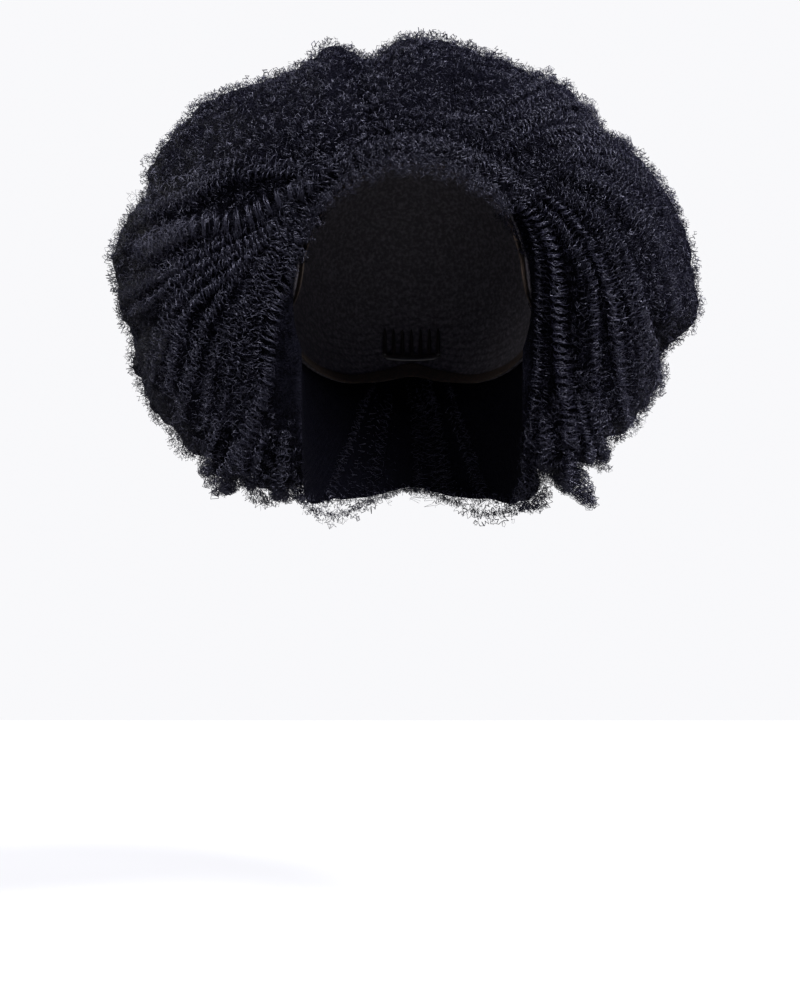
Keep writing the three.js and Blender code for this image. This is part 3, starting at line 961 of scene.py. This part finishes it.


# The tints are painted light and shade: the bright lock beside the face on the right is painted
# lighter, the dim one beside it and two on the left darker.
LOCKS = (
    Lock(
        (
            (51.3, 33.7), (64.6, 26.3), (74.5, 13.3), (80.1, -7.0), (82.0, -36.9), (84.0, -66.6),
            (87.7, -88.5), (93.5, -123.9),
        ),
        winding=Winding.NEAT, columns=1, sunk=2.0, tint=1.4,
    ),
    Lock(
        (
            (64.8, 37.4), (82.7, 22.9), (95.7, 5.0), (103.2, -14.1), (107.1, -41.4), (110.2, -68.8),
            (117.0, -89.8),
        ),
        sunk=3.0,
    ),
    Lock(((75.1, 40.9), (98.9, 25.1), (112.6, 2.1), (122.1, -24.2), (128.6, -51.7), (133.8, -78.3))),
    Lock(((82.3, 50.2), (110.9, 40.3), (131.2, 21.4), (144.7, -3.5), (153.4, -27.3))),
    Lock(((79.7, 59.0), (111.5, 58.0), (137.7, 42.1), (155.2, 14.2))),
    Lock(((71.4, 67.5), (100.3, 72.3), (123.6, 64.8), (142.0, 45.3))),
    Lock(((46.0, 60.0), (64.0, 74.0), (86.0, 84.0), (108.0, 84.0)), sunk=2.5),
    Lock(((33.0, 66.0), (50.0, 82.0), (69.0, 96.0), (88.0, 103.0)), sunk=2.5),
    Lock(((95.2, -71.9), (102.6, -96.7), (108.0, -119.0)), sunk=1.0),
    Lock(((76.0, -83.2), (75.1, -105.3), (73.6, -128.4)), columns=1, sunk=3.0),
    Lock(((69.5, -98.0), (67.5, -116.0), (64.0, -133.0)), columns=1, sunk=3.0),
    Lock(((88.0, -96.0), (92.0, -114.0), (94.0, -131.0)), sunk=1.0),
    Lock(
        (
            (60.3, 26.1), (68.0, 10.7), (70.8, -4.2), (71.9, -20.7), (71.3, -42.7), (70.8, -61.9),
            (69.7, -81.2), (68.0, -100.4), (66.4, -114.2),
        ),
        columns=1, sunk=3.0, tint=0.6,
    ),
    Lock(
        (
            (-52.8, 39.2), (-67.3, 35.9), (-82.9, 27.0), (-98.2, 19.4), (-118.4, 17.2),
            (-134.9, 13.7), (-152.7, 5.0),
        ),
        winding=Winding.BROAD, columns=1, sunk=1.5, tint=0.9,
    ),
    Lock(
        (
            (-56.0, 30.6), (-61.3, 13.7), (-66.7, -5.4), (-75.2, -26.7), (-79.5, -45.4),
            (-81.8, -69.6), (-88.2, -88.6), (-96.0, -113.6),
        ),
        winding=Winding.NEAT, columns=1, sunk=2.0,
    ),
    Lock(
        (
            (-67.1, 25.4), (-82.5, 3.7), (-99.7, -22.9), (-111.6, -41.5), (-117.4, -63.3),
            (-121.9, -88.2),
        ),
        sunk=3.0,
    ),
    Lock(((-72.6, 20.0), (-97.9, -0.9), (-123.0, -21.8), (-134.6, -43.5), (-141.9, -68.3))),
    Lock(((-75.4, 21.9), (-106.6, 5.2), (-135.9, -10.0), (-160.0, -22.9))),
    Lock(
        ((-56.4, 48.3), (-81.8, 50.5), (-106.4, 46.3), (-130.7, 38.1), (-153.2, 30.8)),
        columns=1, sunk=4.0,
    ),
    Lock(((-82.0, -91.4), (-90.8, -113.7), (-94.0, -128.4)), columns=1, sunk=2.0),
    Lock(((-71.1, -91.6), (-74.7, -113.7), (-76.9, -129.6)), columns=1, sunk=4.0),
    Lock(((-107.1, -85.6), (-113.1, -102.3), (-115.7, -115.9)), columns=1, sunk=2.5),
    Lock(((-96.0, -98.0), (-103.0, -114.0), (-108.0, -127.0)), columns=1, sunk=1.5),
    Lock(
        (
            (-61.0, 24.0), (-73.5, 2.0), (-85.0, -20.0), (-92.5, -41.0), (-97.0, -64.0),
            (-103.0, -88.0),
        ),
        tint=0.85,
    ),
)


def lay_ropes(
    mesh: StrandMesh, coil: Coil, paths: Array, rng: Random, tint: Array | float = 1.0
) -> None:
    """Winds strands about ropes of different lengths, a class of lengths at a time.

    Args:
        mesh: Where the strands go.
        coil: How they wind.
        paths: Points by rope and step.
        rng: Source of the wavering.
        tint: The most tint of each rope's strands.
    """
    tint = np.broadcast_to(tint, len(paths))
    length = np.linalg.norm(np.diff(paths, axis=1), axis=-1).sum(axis=1)
    classes = np.maximum(np.round(length / LENGTH_STEP), 1).astype(int)
    for step in np.unique(classes):
        held = classes == step
        even = resampled(paths[held], coil.steps(step * LENGTH_STEP))
        coil.lay(mesh, even, rng, tint[held])


@dataclass
class Dressing:
    """A sub-assembly of the wig: the form that it follows, and its material."""

    form: HairForm
    material: bpy.types.Material

    def piece(self, mesh: bpy.types.Mesh) -> bpy.types.Object:
        """Puts a mesh in the scene with the sub-assembly's material."""
        return make_object(mesh, self.material)


@dataclass
class LockHair(Dressing):
    """The large locks that fan from the hairline, each one or two ropes side by side."""

    front: FrontMap
    seed: int = 11
    column_gap: float = 7.5
    root_gap: float = 0.5
    wander: float = 1.5
    waves: float = 1.5
    sunk_spread: float = 1.5
    steps: int = 60
    left_painted_shade: float = 0.45

    def __post_init__(self) -> None:
        """Lays the ropes out as seen from the front, and lifts them onto the hair.

        Each runs through its lock's places. Columns part by the gap towards the tip.
        """
        rng = np.random.default_rng(self.seed)
        u = np.linspace(0.0, 1.0, self.steps)
        paths = []
        for lock in LOCKS:
            row = np.arange(len(lock.places))
            flat = [Curve(tuple(row), values)(u * row[-1]) for values in zip(*lock.places)]
            flat = np.stack(flat, axis=-1)
            aside = unit(np.gradient(flat, axis=0))[:, ::-1] * (-1.0, 1.0)
            for column in range(lock.columns):
                wave = np.sin(2 * np.pi * (self.waves * u + rng.uniform()))
                shift = (column - (lock.columns - 1) / 2) * self.column_gap * (self.root_gap + u)
                seen = flat + aside * (shift + self.wander * wave * u)[:, None]
                sunk = lock.sunk + rng.uniform(0.0, self.sunk_spread)
                seen = seen + unit(seen) * sunk
                clock, share = self.front.seen(seen[:, 0], seen[:, 1])
                paths.append(self.form.place(clock, share, np.ones_like(clock), -sunk))
        columns = [lock.columns for lock in LOCKS]
        self.paths = np.array(paths)
        self.windings = np.repeat([lock.winding for lock in LOCKS], columns)
        self.tints = np.repeat([lock.tint for lock in LOCKS], columns)

    def build(self) -> list[bpy.types.Object]:
        """Builds the locks of each side.

        Returns:
            The left and the right piece.
        """
        rng = np.random.default_rng(self.seed + 1)
        right = self.paths[:, -1, 0] > 0
        # Painted shade: the left side's locks get a lower tint.
        tints = np.where(right, 1.0, self.left_painted_shade) * self.tints
        pieces = []
        for name, side in (("left_locks", ~right), ("right_locks", right)):
            mesh = StrandMesh()
            for winding in Winding:
                held = side & (self.windings == winding)
                lay_ropes(mesh, winding.value, self.paths[held], rng, tints[held])
            pieces.append(self.piece(mesh.mesh(name)))
        return pieces


@dataclass
class NapeHair(Dressing):
    """Ropes that hang from the cap's rim at the nape, down the hair's inner side."""

    seed: int = 17
    ropes: int = 20
    steps: int = 40
    least_steps: int = 4
    least_clock: float = 159.0
    sunk: float = 3.0
    sunk_spread: float = 1.5
    stagger: float = 2.5
    root_stagger: float = 0.5
    longest: float = 1.1
    below_hem: tuple[float, float] = (0.0, 6.0)
    # Painted shade: the nape's ropes, on the hair's inner side under the cap, get a lower tint.
    tint: float = 0.6
    coil: Coil = NAPE_COIL

    def build(self) -> bpy.types.Object:
        """Builds the ropes, each near one clock angle from the rim down to the hem.

        Returns:
            The piece.
        """
        rng = np.random.default_rng(self.seed)
        shape = (self.ropes, 1)
        turn = np.linspace(self.least_clock, 360.0 - self.least_clock, self.ropes)[:, None]
        u = np.linspace(0.0, 1.0, self.steps)[None]
        clock = wrapped(turn + rng.normal(0.0, self.stagger, shape) * (self.root_stagger + u))
        side = np.abs(clock)
        reach = u * rng.uniform(1.0, self.longest, shape)
        latitude = blend(self.form.rim_edge(side), self.form.hair_edge(side), reach)
        way = direction(clock, latitude)
        sunk = self.sunk + rng.normal(0.0, self.sunk_spread, shape)
        paths = self.form.centre + way * (self.form.inner_radius(way) + sunk)[..., None]
        hem = self.form.hem - rng.uniform(*self.below_hem, self.ropes)
        ends = np.maximum((paths[..., 2] > hem[:, None]).sum(axis=1), self.least_steps)
        cut = [resampled(row[None, :end], self.steps) for row, end in zip(paths, ends)]
        mesh = StrandMesh()
        lay_ropes(mesh, self.coil, np.concatenate(cut), rng, self.tint)
        return self.piece(mesh.mesh("nape_curls"))


def lying(
    form: HairForm, middle: Array, coil: Coil, length: float, stand: float, rng: Random
) -> Array:
    """Lays short curls about places on the hair, each mostly along the surface.

    Args:
        form: The hair's form.
        middle: The places.
        coil: How the curls wind.
        length: Their length.
        stand: How much they lean out or in.
        rng: Source of each curl's way.

    Returns:
        Points by curl and step. A curl's way is a tangent of length one plus its lean, and it
        bows outwards by the share 1/4 - u^2 of its length.
    """
    count = len(middle)
    out = unit(middle - form.centre)
    aside = unit(beside(rng.normal(size=(count, 3)), out))
    way = unit(aside + out * rng.normal(0.0, stand, (count, 1)))
    u = np.linspace(-0.5, 0.5, coil.steps(length))[None, :, None]
    bowed = out[:, None] * length * (0.25 - u**2) * LYING_BOW
    return middle[:, None] + way[:, None] * u * length + bowed


@dataclass
class CurledHair(Dressing):
    """The small curls that cover the hair's outer form, one piece for each section."""

    lines: SectionLines
    seed: int = 23
    curls: int = 6500
    crowd: float = 1.4
    first_share: float = 0.03
    first_fall: float = 3.0
    top_clock: float = 25.0
    low_clock: float = 148.0
    length: float = 8.4
    stand: float = 0.6
    sunk: tuple[float, float] = (1.0, 7.0)
    deeper: float = 4.5
    deep_share: float = 0.34
    painted_shade_tint: float = 0.12
    coil: Coil = SMALL_COIL

    def paths(self, rng: Random) -> tuple[Array, Array, Array]:
        """Lays out the curls about places that start nearer the edge at the top and below.

        Between the large locks they lie deeper, and are painted darker the deeper they lie, as
        painted shade.

        Args:
            rng: Source of each curl's way.

        Returns:
            The places' clock angles, points by curl and step, and the curls' tints.
        """
        clock, share = self.form.even_tips(self.curls, self.first_share, self.crowd)
        side = eased((np.abs(clock) - self.top_clock) / self.top_clock)
        side = side * eased((self.low_clock - np.abs(clock)) / self.top_clock)
        near = np.maximum(1.0 - self.first_fall * share, 0.0)
        share = share - self.first_share * (1.0 - side) * near
        among = side * fading(share / self.deep_share)
        low = rng.uniform(size=self.curls)
        sunk = blend(*self.sunk, low) + self.deeper * among
        middle = self.form.place(clock, share, np.ones_like(clock), -sunk)
        # Painted shade: the deeper a curl lies, the lower its tint.
        tint = blend(1.0, self.painted_shade_tint, np.clip(low * (1.0 - among) + among, 0.0, 1.0))
        return clock, lying(self.form, middle, self.coil, self.length, self.stand, rng), tint

    def build(self) -> dict[Section, bpy.types.Object]:
        """Builds each section's piece.

        Returns:
            The pieces by section.
        """
        rng = np.random.default_rng(self.seed)
        clock, path, tint = self.paths(rng)
        pieces = {}
        for section in Section:
            mesh = StrandMesh()
            held = self.lines.holds(section, clock, path[:, -1])
            self.coil.lay(mesh, path[held], rng, tint[held])
            pieces[section] = self.piece(mesh.mesh(section.value.replace("hair", "curls")))
        return pieces


@dataclass
class WallHair(Dressing):
    """The small curls on the steep front of the hair, beside and between the locks, dull and dark as
    painted shade.
    """

    front: FrontMap
    seed: int = 29
    count: int = 1100
    clock: tuple[float, float] = (58.0, 154.0)
    out: tuple[float, float] = (0.06, 0.6)
    sunk: tuple[float, float] = (2.5, 8.0)
    length: float = 8.0
    stand: float = 0.6
    tint: float = 1.0
    left_painted_shade: float = 0.4
    coil: Coil = SMALL_COIL

    def build(self) -> bpy.types.Object:
        """Builds the curls, spread evenly as seen from the front.

        Returns:
            The piece.
        """
        rng = np.random.default_rng(self.seed)
        clock = rng.choice((-1.0, 1.0), self.count) * rng.uniform(*self.clock, self.count)
        reach = self.front.reach(clock, rng.uniform(*self.out, self.count))
        turn = np.radians(clock)
        clock, share = self.front.seen(reach * np.sin(turn), reach * np.cos(turn))
        sunk = rng.uniform(*self.sunk, self.count)
        middle = self.form.place(clock, share, np.ones(self.count), -sunk)
        mesh = StrandMesh()
        path = lying(self.form, middle, self.coil, self.length, self.stand, rng)
        # Painted shade: the left side's curls get a lower tint.
        self.coil.lay(mesh, path, rng, np.where(clock < 0, self.left_painted_shade, self.tint))
        return self.piece(mesh.mesh("wall_curls"))


@dataclass
class StrayHair(Dressing):
    """Fine loose curls that stand out of the hair's outer form, and small ones at the hairline."""

    seed: int = 37
    count: int = 2400
    length: float = 5.0
    beyond: tuple[float, float] = (-4.0, -1.0)
    stand: float = 0.8
    clock_spread: float = 2.0
    first_share: float = 0.02
    rim_share: float = 0.75
    rim_spread: float = 18.0
    coil: Coil = STRAY_COIL
    hairline_count: int = 310
    hairline_painted_shade: float = 0.25
    hairline_clock: tuple[float, float] = (-86.0, 61.0)
    hairline_length: float = 12.0
    hairline_lean: float = 3.0
    hairline_root: float = 0.025
    hairline_tips: tuple[float, float] = (-0.07, -0.025)
    hairline_beyond: tuple[float, float] = (-3.0, 0.0)
    hairline_coil: Coil = HAIRLINE_COIL

    def outer(self, rng: Random) -> Array:
        """Lays out the loose curls about places just under the outer form, most near its outline.

        Args:
            rng: Source of their ways.

        Returns:
            Points by curl and step.
        """
        clock, share = self.form.even_tips(self.count, self.first_share)
        clock = clock + rng.normal(0, self.clock_spread, self.count)
        edge = self.form.hair_edge(np.abs(clock))
        rim = (rng.normal(0.0, self.rim_spread, self.count) - edge) / (90.0 - edge)
        at_rim = rng.uniform(size=self.count) < self.rim_share
        share = np.where(at_rim, np.maximum(rim, self.first_share), share)
        beyond = rng.uniform(*self.beyond, self.count)
        middle = self.form.place(clock, share, np.ones(self.count), beyond)
        return lying(self.form, middle, self.coil, self.length, self.stand, rng)

    def hairline(self, rng: Random) -> Array:
        """Lays out the hairline's curls, from just behind the cap's rim to past its band.

        Low at one side there are none, and the band shows.

        Args:
            rng: Source of their lean.

        Returns:
            Points by curl and step.
        """
        root = np.linspace(*self.hairline_clock, self.hairline_count)[:, None]
        shape = root.shape
        u = np.linspace(0.0, 1.0, self.hairline_coil.steps(self.hairline_length))[None]
        root = root + rng.normal(0.0, self.clock_spread, shape)
        clock = root + rng.normal(0.0, self.hairline_lean, shape) * u
        share = blend(self.hairline_root, rng.uniform(*self.hairline_tips, shape), u)
        beyond = rng.uniform(*self.hairline_beyond, shape)
        return self.form.place(clock, share, np.ones_like(clock), beyond)

    def build(self) -> bpy.types.Object:
        """Builds the loose curls and the hairline's.

        Returns:
            The piece.
        """
        rng = np.random.default_rng(self.seed)
        mesh = StrandMesh()
        self.coil.lay(mesh, self.outer(rng), rng)
        # Painted shade: the hairline's curls get a low tint.
        self.hairline_coil.lay(mesh, self.hairline(rng), rng, self.hairline_painted_shade)
        return self.piece(mesh.mesh("stray_curls"))


@dataclass
class DenseHair(Dressing):
    """The dense hair under the curls, a closed form on the cap with a ridge along each rope."""

    ropes: Array
    around: int = 264
    outer_rows: int = 100
    inner_rows: int = 18
    seed: int = 41
    clumps: int = 1750
    clump_share: float = 0.27
    clump_shift: float = 2.6
    sunk: float = 15.0
    outer_sunk: float = 7.0
    ridge: float = 8.0
    clump: float = 4.0
    full_from: float = 25.0
    top_full: float = 0.8
    top_clock: float = 64.0
    fringe: float = 4.5
    fringe_clock: float = 144.0
    fringe_spread: float = 12.0
    fringe_share: float = 0.7
    painted_shade_tint: float = 0.3
    edge_painted_shade: float = 0.06
    edge_share: float = 0.14
    edge_start: float = 0.4
    outer_tint: float = 0.6
    ridge_radius: float = 7.0
    rows_at_once: int = 10
    least_wall: float = 4.0
    cut_clock: float = 108.0
    cut_spread: float = 12.0
    cut_shares: int = 151
    last_cut: float = 0.6
    evened: int = 9

    def ridges(self, places: Array) -> Array:
        """Finds how far each place is raised.

        Args:
            places: Points on the surface by row and column.

        Returns:
            Shares 1 - (d/r)^2 of a ridge's height, where d is the distance to the nearest point
            of a rope or clump, and nothing past the ridge's radius r.
        """
        clock, share = self.form.even_tips(self.clumps, self.clump_share)
        tips = self.form.place(clock, share, np.ones(self.clumps), self.clump - self.outer_sunk)
        shift = np.random.default_rng(self.seed).normal(0.0, self.clump_shift, tips.shape)
        tips += beside(shift, unit(tips - self.form.centre))
        points = np.concatenate([self.ropes[:, ::2].reshape(-1, 3), tips]).astype(np.float32)
        squares = (points**2).sum(axis=-1)
        nearest = []
        for start in range(0, len(places), self.rows_at_once):
            part = places[start : start + self.rows_at_once].astype(np.float32)
            apart = squares - 2.0 * (part @ points.T)
            nearest.append(apart.min(axis=-1) + (part**2).sum(axis=-1))
        square = np.maximum(np.concatenate(nearest), 0.0)
        return np.maximum(1.0 - square / self.ridge_radius**2, 0.0)

    def first_share(self, clock: Array) -> Array:
        """Finds where the dense hair starts, low down further back than the curls do.

        Args:
            clock: Clock angles once around.

        Returns:
            The least share back where the hair leaves a wall and is above the hem, evened out
            over its neighbours.
        """
        share = np.linspace(0.0, self.last_cut, self.cut_shares)[:, None]
        grid = np.broadcast_arrays(clock[None], share, 1.0)
        outer, inner = self.form.place(*grid), self.form.place(*grid[:2], 0.0)
        wall = np.linalg.norm(outer - inner, axis=-1) > self.least_wall
        first = share[np.argmax(wall & (inner[..., 2] > self.form.hem), axis=0), 0]
        first = np.pad(first, self.evened // 2, mode="wrap")
        first = np.convolve(first, np.full(self.evened, 1 / self.evened), "valid")
        return first * eased((np.abs(clock) - self.cut_clock) / self.cut_spread)

    def build(self) -> bpy.types.Object:
        """Builds the form as a grid of clock angles by rows.

        Returns:
            The piece. Rows run from the back over the outer side to the hair's edge, sunk under
            the surface and raised again in ridges, and then along the inner side to the back.
        """
        clock = around_once(self.around)
        first = self.first_share(clock[0])[None]
        back = blend(first, 1.0, np.linspace(1.0, 0.0, self.outer_rows)[:, None])
        turn = clock + 0.0 * back
        full = np.ones_like(back)
        edge = self.form.hair_edge(np.abs(clock))
        outer = eased(1.0 + blend(edge, 90.0, back) / self.full_from)
        raised = np.maximum(outer, self.top_full * fading(np.abs(clock) / self.top_clock))
        sunk = blend(self.sunk, self.outer_sunk, raised)
        ridge = blend(self.ridge, self.clump, raised)
        fringe = np.exp(-(((np.abs(clock) - self.fringe_clock) / self.fringe_spread) ** 2))
        sunk = sunk + self.fringe * fringe * fading(back / self.fringe_share)
        share = self.ridges(self.form.place(turn, back, full, ridge - sunk))
        # Painted shade: the tint is lowest at the hair's edge, low in the valleys between ridges,
        # and higher on the ridges and the outer side.
        inside = eased(back / self.edge_share - self.edge_start)
        least = blend(self.edge_painted_shade, self.painted_shade_tint, inside)
        tint = blend(least, 1.0, np.maximum(share * inside, self.outer_tint * outer))
        outer_side = self.form.place(turn, back, full, ridge * share - sunk)
        ahead = np.linspace(0.0, 1.0, self.inner_rows)[:, None]
        latitude = blend(edge, 90.0, blend(first, 1.0, ahead))
        way = direction(clock + 0.0 * latitude, latitude)
        inner_side = self.form.centre + way * self.form.inner_radius(way)[..., None]
        # The inner side is painted in the edge's dark shade.
        tint = np.concatenate([tint, np.full(inner_side.shape[:2], self.edge_painted_shade)])
        rows = np.concatenate([outer_side, inner_side])
        return self.piece(grid_mesh("shaded_dense_hair", rows, poles=True, tint=tint))


@dataclass
class NetCap(Dressing):
    """The net cap, a thin wall with sewn rows across its inside."""

    around: int = 120
    rows: int = 40
    weft_rows: int = 13
    weft_height: float = 0.45
    plain_share: float = 0.125

    def build(self) -> bpy.types.Object:
        """Builds the wall from the rim to the back, with a ridge inside for each sewn row.

        Returns:
            The piece. A ridge is the upper half of a cosine over the way back.
        """
        clock = around_once(self.around)
        back = np.linspace(0.0, 1.0, self.rows)[:, None] + 0.0 * clock
        rim = self.form.rim_edge(np.abs(clock))
        way = direction(clock + 0.0 * back, blend(rim, 90.0, back))
        ridge = np.cos(2.0 * np.pi * self.weft_rows * back) * eased(back / self.plain_share)
        outer = self.form.cap_points(way, np.full(back.shape, self.form.cap_wall))
        inner = self.form.cap_points(way, -self.weft_height * np.maximum(ridge, 0.0))
        return self.piece(grid_mesh("net_cap", np.concatenate([outer[::-1], inner]), poles=True))


@dataclass
class EdgeBand(Dressing):
    """The elastic net band sewn inside the cap's rim, a soft flat section carried around it."""

    around: int = 180
    corners: int = 16
    width: float = 10.0
    overhang: float = 3.5
    wall: float = 1.2
    gap: float = 0.7
    seam_angle: float = 5.0
    roundness: float = 0.5

    def build(self) -> bpy.types.Object:
        """Builds the band: each ring is a rounded flat section from the rim towards the back.

        Returns:
            The piece.
        """
        clock = around_once(self.around)
        angle = np.linspace(0.0, 2.0 * np.pi, self.corners, endpoint=False)[:, None]
        corner = np.abs(np.stack([np.cos(angle), np.sin(angle)])) ** self.roundness
        across = corner[0] * np.sign(np.cos(angle)) * self.width / 2
        across = across + self.width / 2 - self.overhang + 0.0 * clock
        depth = corner[1] * np.sign(np.sin(angle)) * self.wall / 2
        depth = depth + self.gap + self.wall / 2 + 0.0 * clock
        rim = self.form.rim_edge(np.abs(clock)) + 0.0 * across
        turn = clock + 0.0 * across
        start = self.form.cap_points(direction(turn, rim), -depth)
        along = unit(self.form.cap_points(direction(turn, rim + self.seam_angle), -depth) - start)
        return self.piece(grid_mesh("elastic_band", start + along * across[..., None], poles=False))


@dataclass
class Combs(Dressing):
    """The two combs that hold the wig, sewn inside the band at the front and at the nape."""

    width: float = 36.0
    teeth: int = 7
    spine: float = 5.0
    tooth_length: float = 17.0
    thickness: float = 1.6
    tooth_share: float = 0.55
    tooth_thickness: float = 0.9
    tooth_tip: float = 0.6
    spine_power: int = 12
    tooth_power: int = 8
    least_end: float = 0.02
    gap: float = 1.3
    from_rim: float = 12.5
    sides: int = 10
    steps: int = 12

    def lay(self, clock: float, across: Array, along: Array) -> tuple[Array, Array]:
        """Lays flat places on the cap's inside.

        Args:
            clock: The comb's clock angle.
            across: Places around the cap.
            along: Places from the spine's edge away from the rim.

        Returns:
            Points half a thickness in from the cap, and the way towards the cap's centre.
        """
        rim = float(self.form.rim_edge(np.array(abs(clock))))
        rim_way = direction(np.array(clock), np.array(rim))
        back_way = direction(np.array(clock), np.array(rim + 90.0))
        around_way = np.cross(back_way, rim_way)
        radius = float(self.form.cap_radius(rim_way, 0.0))
        turn = ((self.from_rim + along) / radius)[..., None]
        way = around_way * (across / radius)[..., None]
        way = unit(way + rim_way * np.cos(turn) + back_way * np.sin(turn))
        reach = self.form.cap_radius(way, -(self.gap + self.thickness / 2))
        return self.form.centre + way * reach[..., None], -way

    def build(self, name: str, clock: float) -> bpy.types.Object:
        """Builds a comb: a round-ended spine, and round teeth that narrow to their tips.

        Args:
            name: The piece's name.
            clock: Its clock angle.

        Returns:
            The piece.
        """
        angle = np.linspace(0.0, 2.0 * np.pi, self.sides, endpoint=False)
        profile = np.stack([np.sin(angle), np.cos(angle)], axis=-1) * 0.5
        pitch = self.width / (self.teeth - 1 + self.tooth_share)
        u = np.linspace(0.0, 1.0, self.steps)
        end = 1.0 - np.abs(2.0 * u - 1.0) ** self.spine_power
        end = np.sqrt(np.maximum(end, self.least_end))
        mesh = StrandMesh()
        spine_across = (u[None] - 0.5) * self.width
        path, out = self.lay(clock, spine_across, np.full_like(spine_across, -self.spine / 2))
        size = np.stack([end * self.spine, end * self.thickness], axis=-1)[None]
        mesh.add(path, out, profile, size, np.zeros(1))
        first = -self.width / 2 + pitch * self.tooth_share / 2
        tooth_across = (first + pitch * np.arange(self.teeth))[:, None] + 0.0 * u
        tooth_along = blend(-self.spine / 2, self.tooth_length, u)[None] + 0.0 * tooth_across
        path, out = self.lay(clock, tooth_across, tooth_along)
        narrow = np.sqrt(np.maximum(1.0 - u**self.tooth_power, self.least_end))
        narrow = blend(1.0, self.tooth_tip, u) * narrow
        thick = narrow * self.thickness * self.tooth_thickness
        size = np.stack([narrow * pitch * self.tooth_share, thick], axis=-1)
        size = np.repeat(size[None], self.teeth, axis=0)
        mesh.add(path, out, profile, size, np.zeros(self.teeth))
        return self.piece(mesh.mesh(name))


@dataclass(frozen=True)
class Lamp:
    """A soft square lamp that faces a point."""

    name: str
    place: tuple[float, float, float]
    size: float
    power: float

    def build(self, target: tuple[float, float, float]) -> None:
        """Makes the lamp.

        Args:
            target: The point that it faces.
        """
        data = bpy.data.lights.new(self.name, "AREA")
        data.size, data.energy = self.size * MM, self.power
        made = bpy.data.objects.new(self.name, data)
        made.location = np.array(self.place) * MM
        way = Vector(np.array(target) - np.array(self.place))
        made.rotation_euler = way.to_track_quat("-Z", "Y").to_euler()
        bpy.context.scene.collection.objects.link(made)


@dataclass
class Studio:
    """A pale floor, soft lamps in a white room, and the camera at the picture's angle."""

    floor_height: float = -480.0
    floor_half: float = 3000.0
    floor_back: float = 1845.0
    camera_place: tuple[float, float, float] = (-6.8, -1800.0, -225.7)
    scale_per_pixel: float = 0.57
    picture_height: int = 1000
    sensor: float = 36.0
    room_colour: Colour = (0.945, 0.945, 0.965)
    room_light: float = 0.14
    shade_colour: Colour = (0.40, 0.44, 1.0)
    target: tuple[float, float, float] = (0.0, 0.0, -95.0)
    lamps: tuple[Lamp, ...] = (
        Lamp("key", place=(1000.0, -1600.0, 1650.0), size=700.0, power=198.0),
        Lamp("fill", place=(-1500.0, -1500.0, 500.0), size=900.0, power=14.0),
        Lamp("rim", place=(-1500.0, 1000.0, 500.0), size=1000.0, power=12.0),
    )

    def build(self) -> None:
        """Makes the floor, the room's light, the lamps and the camera."""
        self._floor()
        self._room()
        for lamp in self.lamps:
            lamp.build(self.target)
        self._camera()

    def _floor(self) -> None:
        """Lays the floor as one face, with its far edge behind the wig."""
        x, y, z = self.floor_half, self.floor_back, self.floor_height
        corners = np.array([(-x, -x, z), (x, -x, z), (x, y, z), (-x, y, z)])
        mesh = bpy.data.meshes.new("floor")
        mesh.from_pydata((corners * MM).tolist(), [], [(0, 1, 2, 3)])
        make_object(mesh, FLOOR.material())

    def _room(self) -> None:
        """Makes the room white where it is seen, and gives it a softer light."""
        world = bpy.data.worlds.new("white_room")
        world.use_nodes = True
        bpy.context.scene.world = world
        sheet = NodeSheet(world.node_tree)
        world.node_tree.nodes.clear()
        white = {"Color": rgba(self.room_colour), "Strength": 1.0}
        shade = {"Color": rgba(self.shade_colour), "Strength": self.room_light}
        seen, lit = (sheet.add("ShaderNodeBackground", tone) for tone in (white, shade))
        ray = sheet.add("ShaderNodeLightPath").outputs["Is Camera Ray"]
        mixed = sheet.add("ShaderNodeMixShader", {0: ray, 1: lit.outputs[0], 2: seen.outputs[0]})
        sheet.add("ShaderNodeOutputWorld", {"Surface": mixed.outputs[0]})
        bpy.context.scene.view_settings.view_transform = "Standard"

    def _camera(self) -> None:
        """Sets the camera level, looking along +Y, with the lens that gives the picture's scale."""
        data = bpy.data.cameras.new("camera")
        distance = -self.camera_place[1]
        data.sensor_width = self.sensor
        data.lens = self.sensor * distance / (self.scale_per_pixel * self.picture_height)
        made = bpy.data.objects.new("camera", data)
        made.location = np.array(self.camera_place) * MM
        made.rotation_euler = (math.pi / 2, 0.0, 0.0)
        bpy.context.scene.collection.objects.link(made)
        bpy.context.scene.camera = made


def main() -> None:
    """Builds the studio and the wig's pieces in order, and reports each one."""
    logging.basicConfig(level=logging.INFO, format="%(message)s")
    Studio().build()
    form = HairForm()
    hair = HAIR.material()
    # The shaded copy of the hair material paints shade on the dense form and on the curls on the
    # steep front.
    shaded_hair = SHADED_DENSE_HAIR.material()
    front = FrontMap(form)
    locks = LockHair(form, hair, front)
    for piece in locks.build():
        keep(piece, "hair")
    for section, piece in CurledHair(form, hair, SectionLines()).build().items():
        keep(piece, "hair", section.value)
    keep(WallHair(form, shaded_hair, front).build(), "hair")
    keep(StrayHair(form, hair).build(), "hair")
    keep(NapeHair(form, hair).build(), "hair")
    keep(DenseHair(form, shaded_hair, locks.paths).build(), "hair")
    keep(NetCap(form, NET.material()).build(), "net", "cap")
    keep(EdgeBand(form, BAND.material()).build(), "band", "edge_band")
    combs = Combs(form, COMB.material())
    keep(combs.build("front_holding_comb", 0.0), "comb", "front_comb")
    keep(combs.build("nape_holding_comb", 180.0), "comb", "nape_comb")


if __name__ == "__main__":
    main()
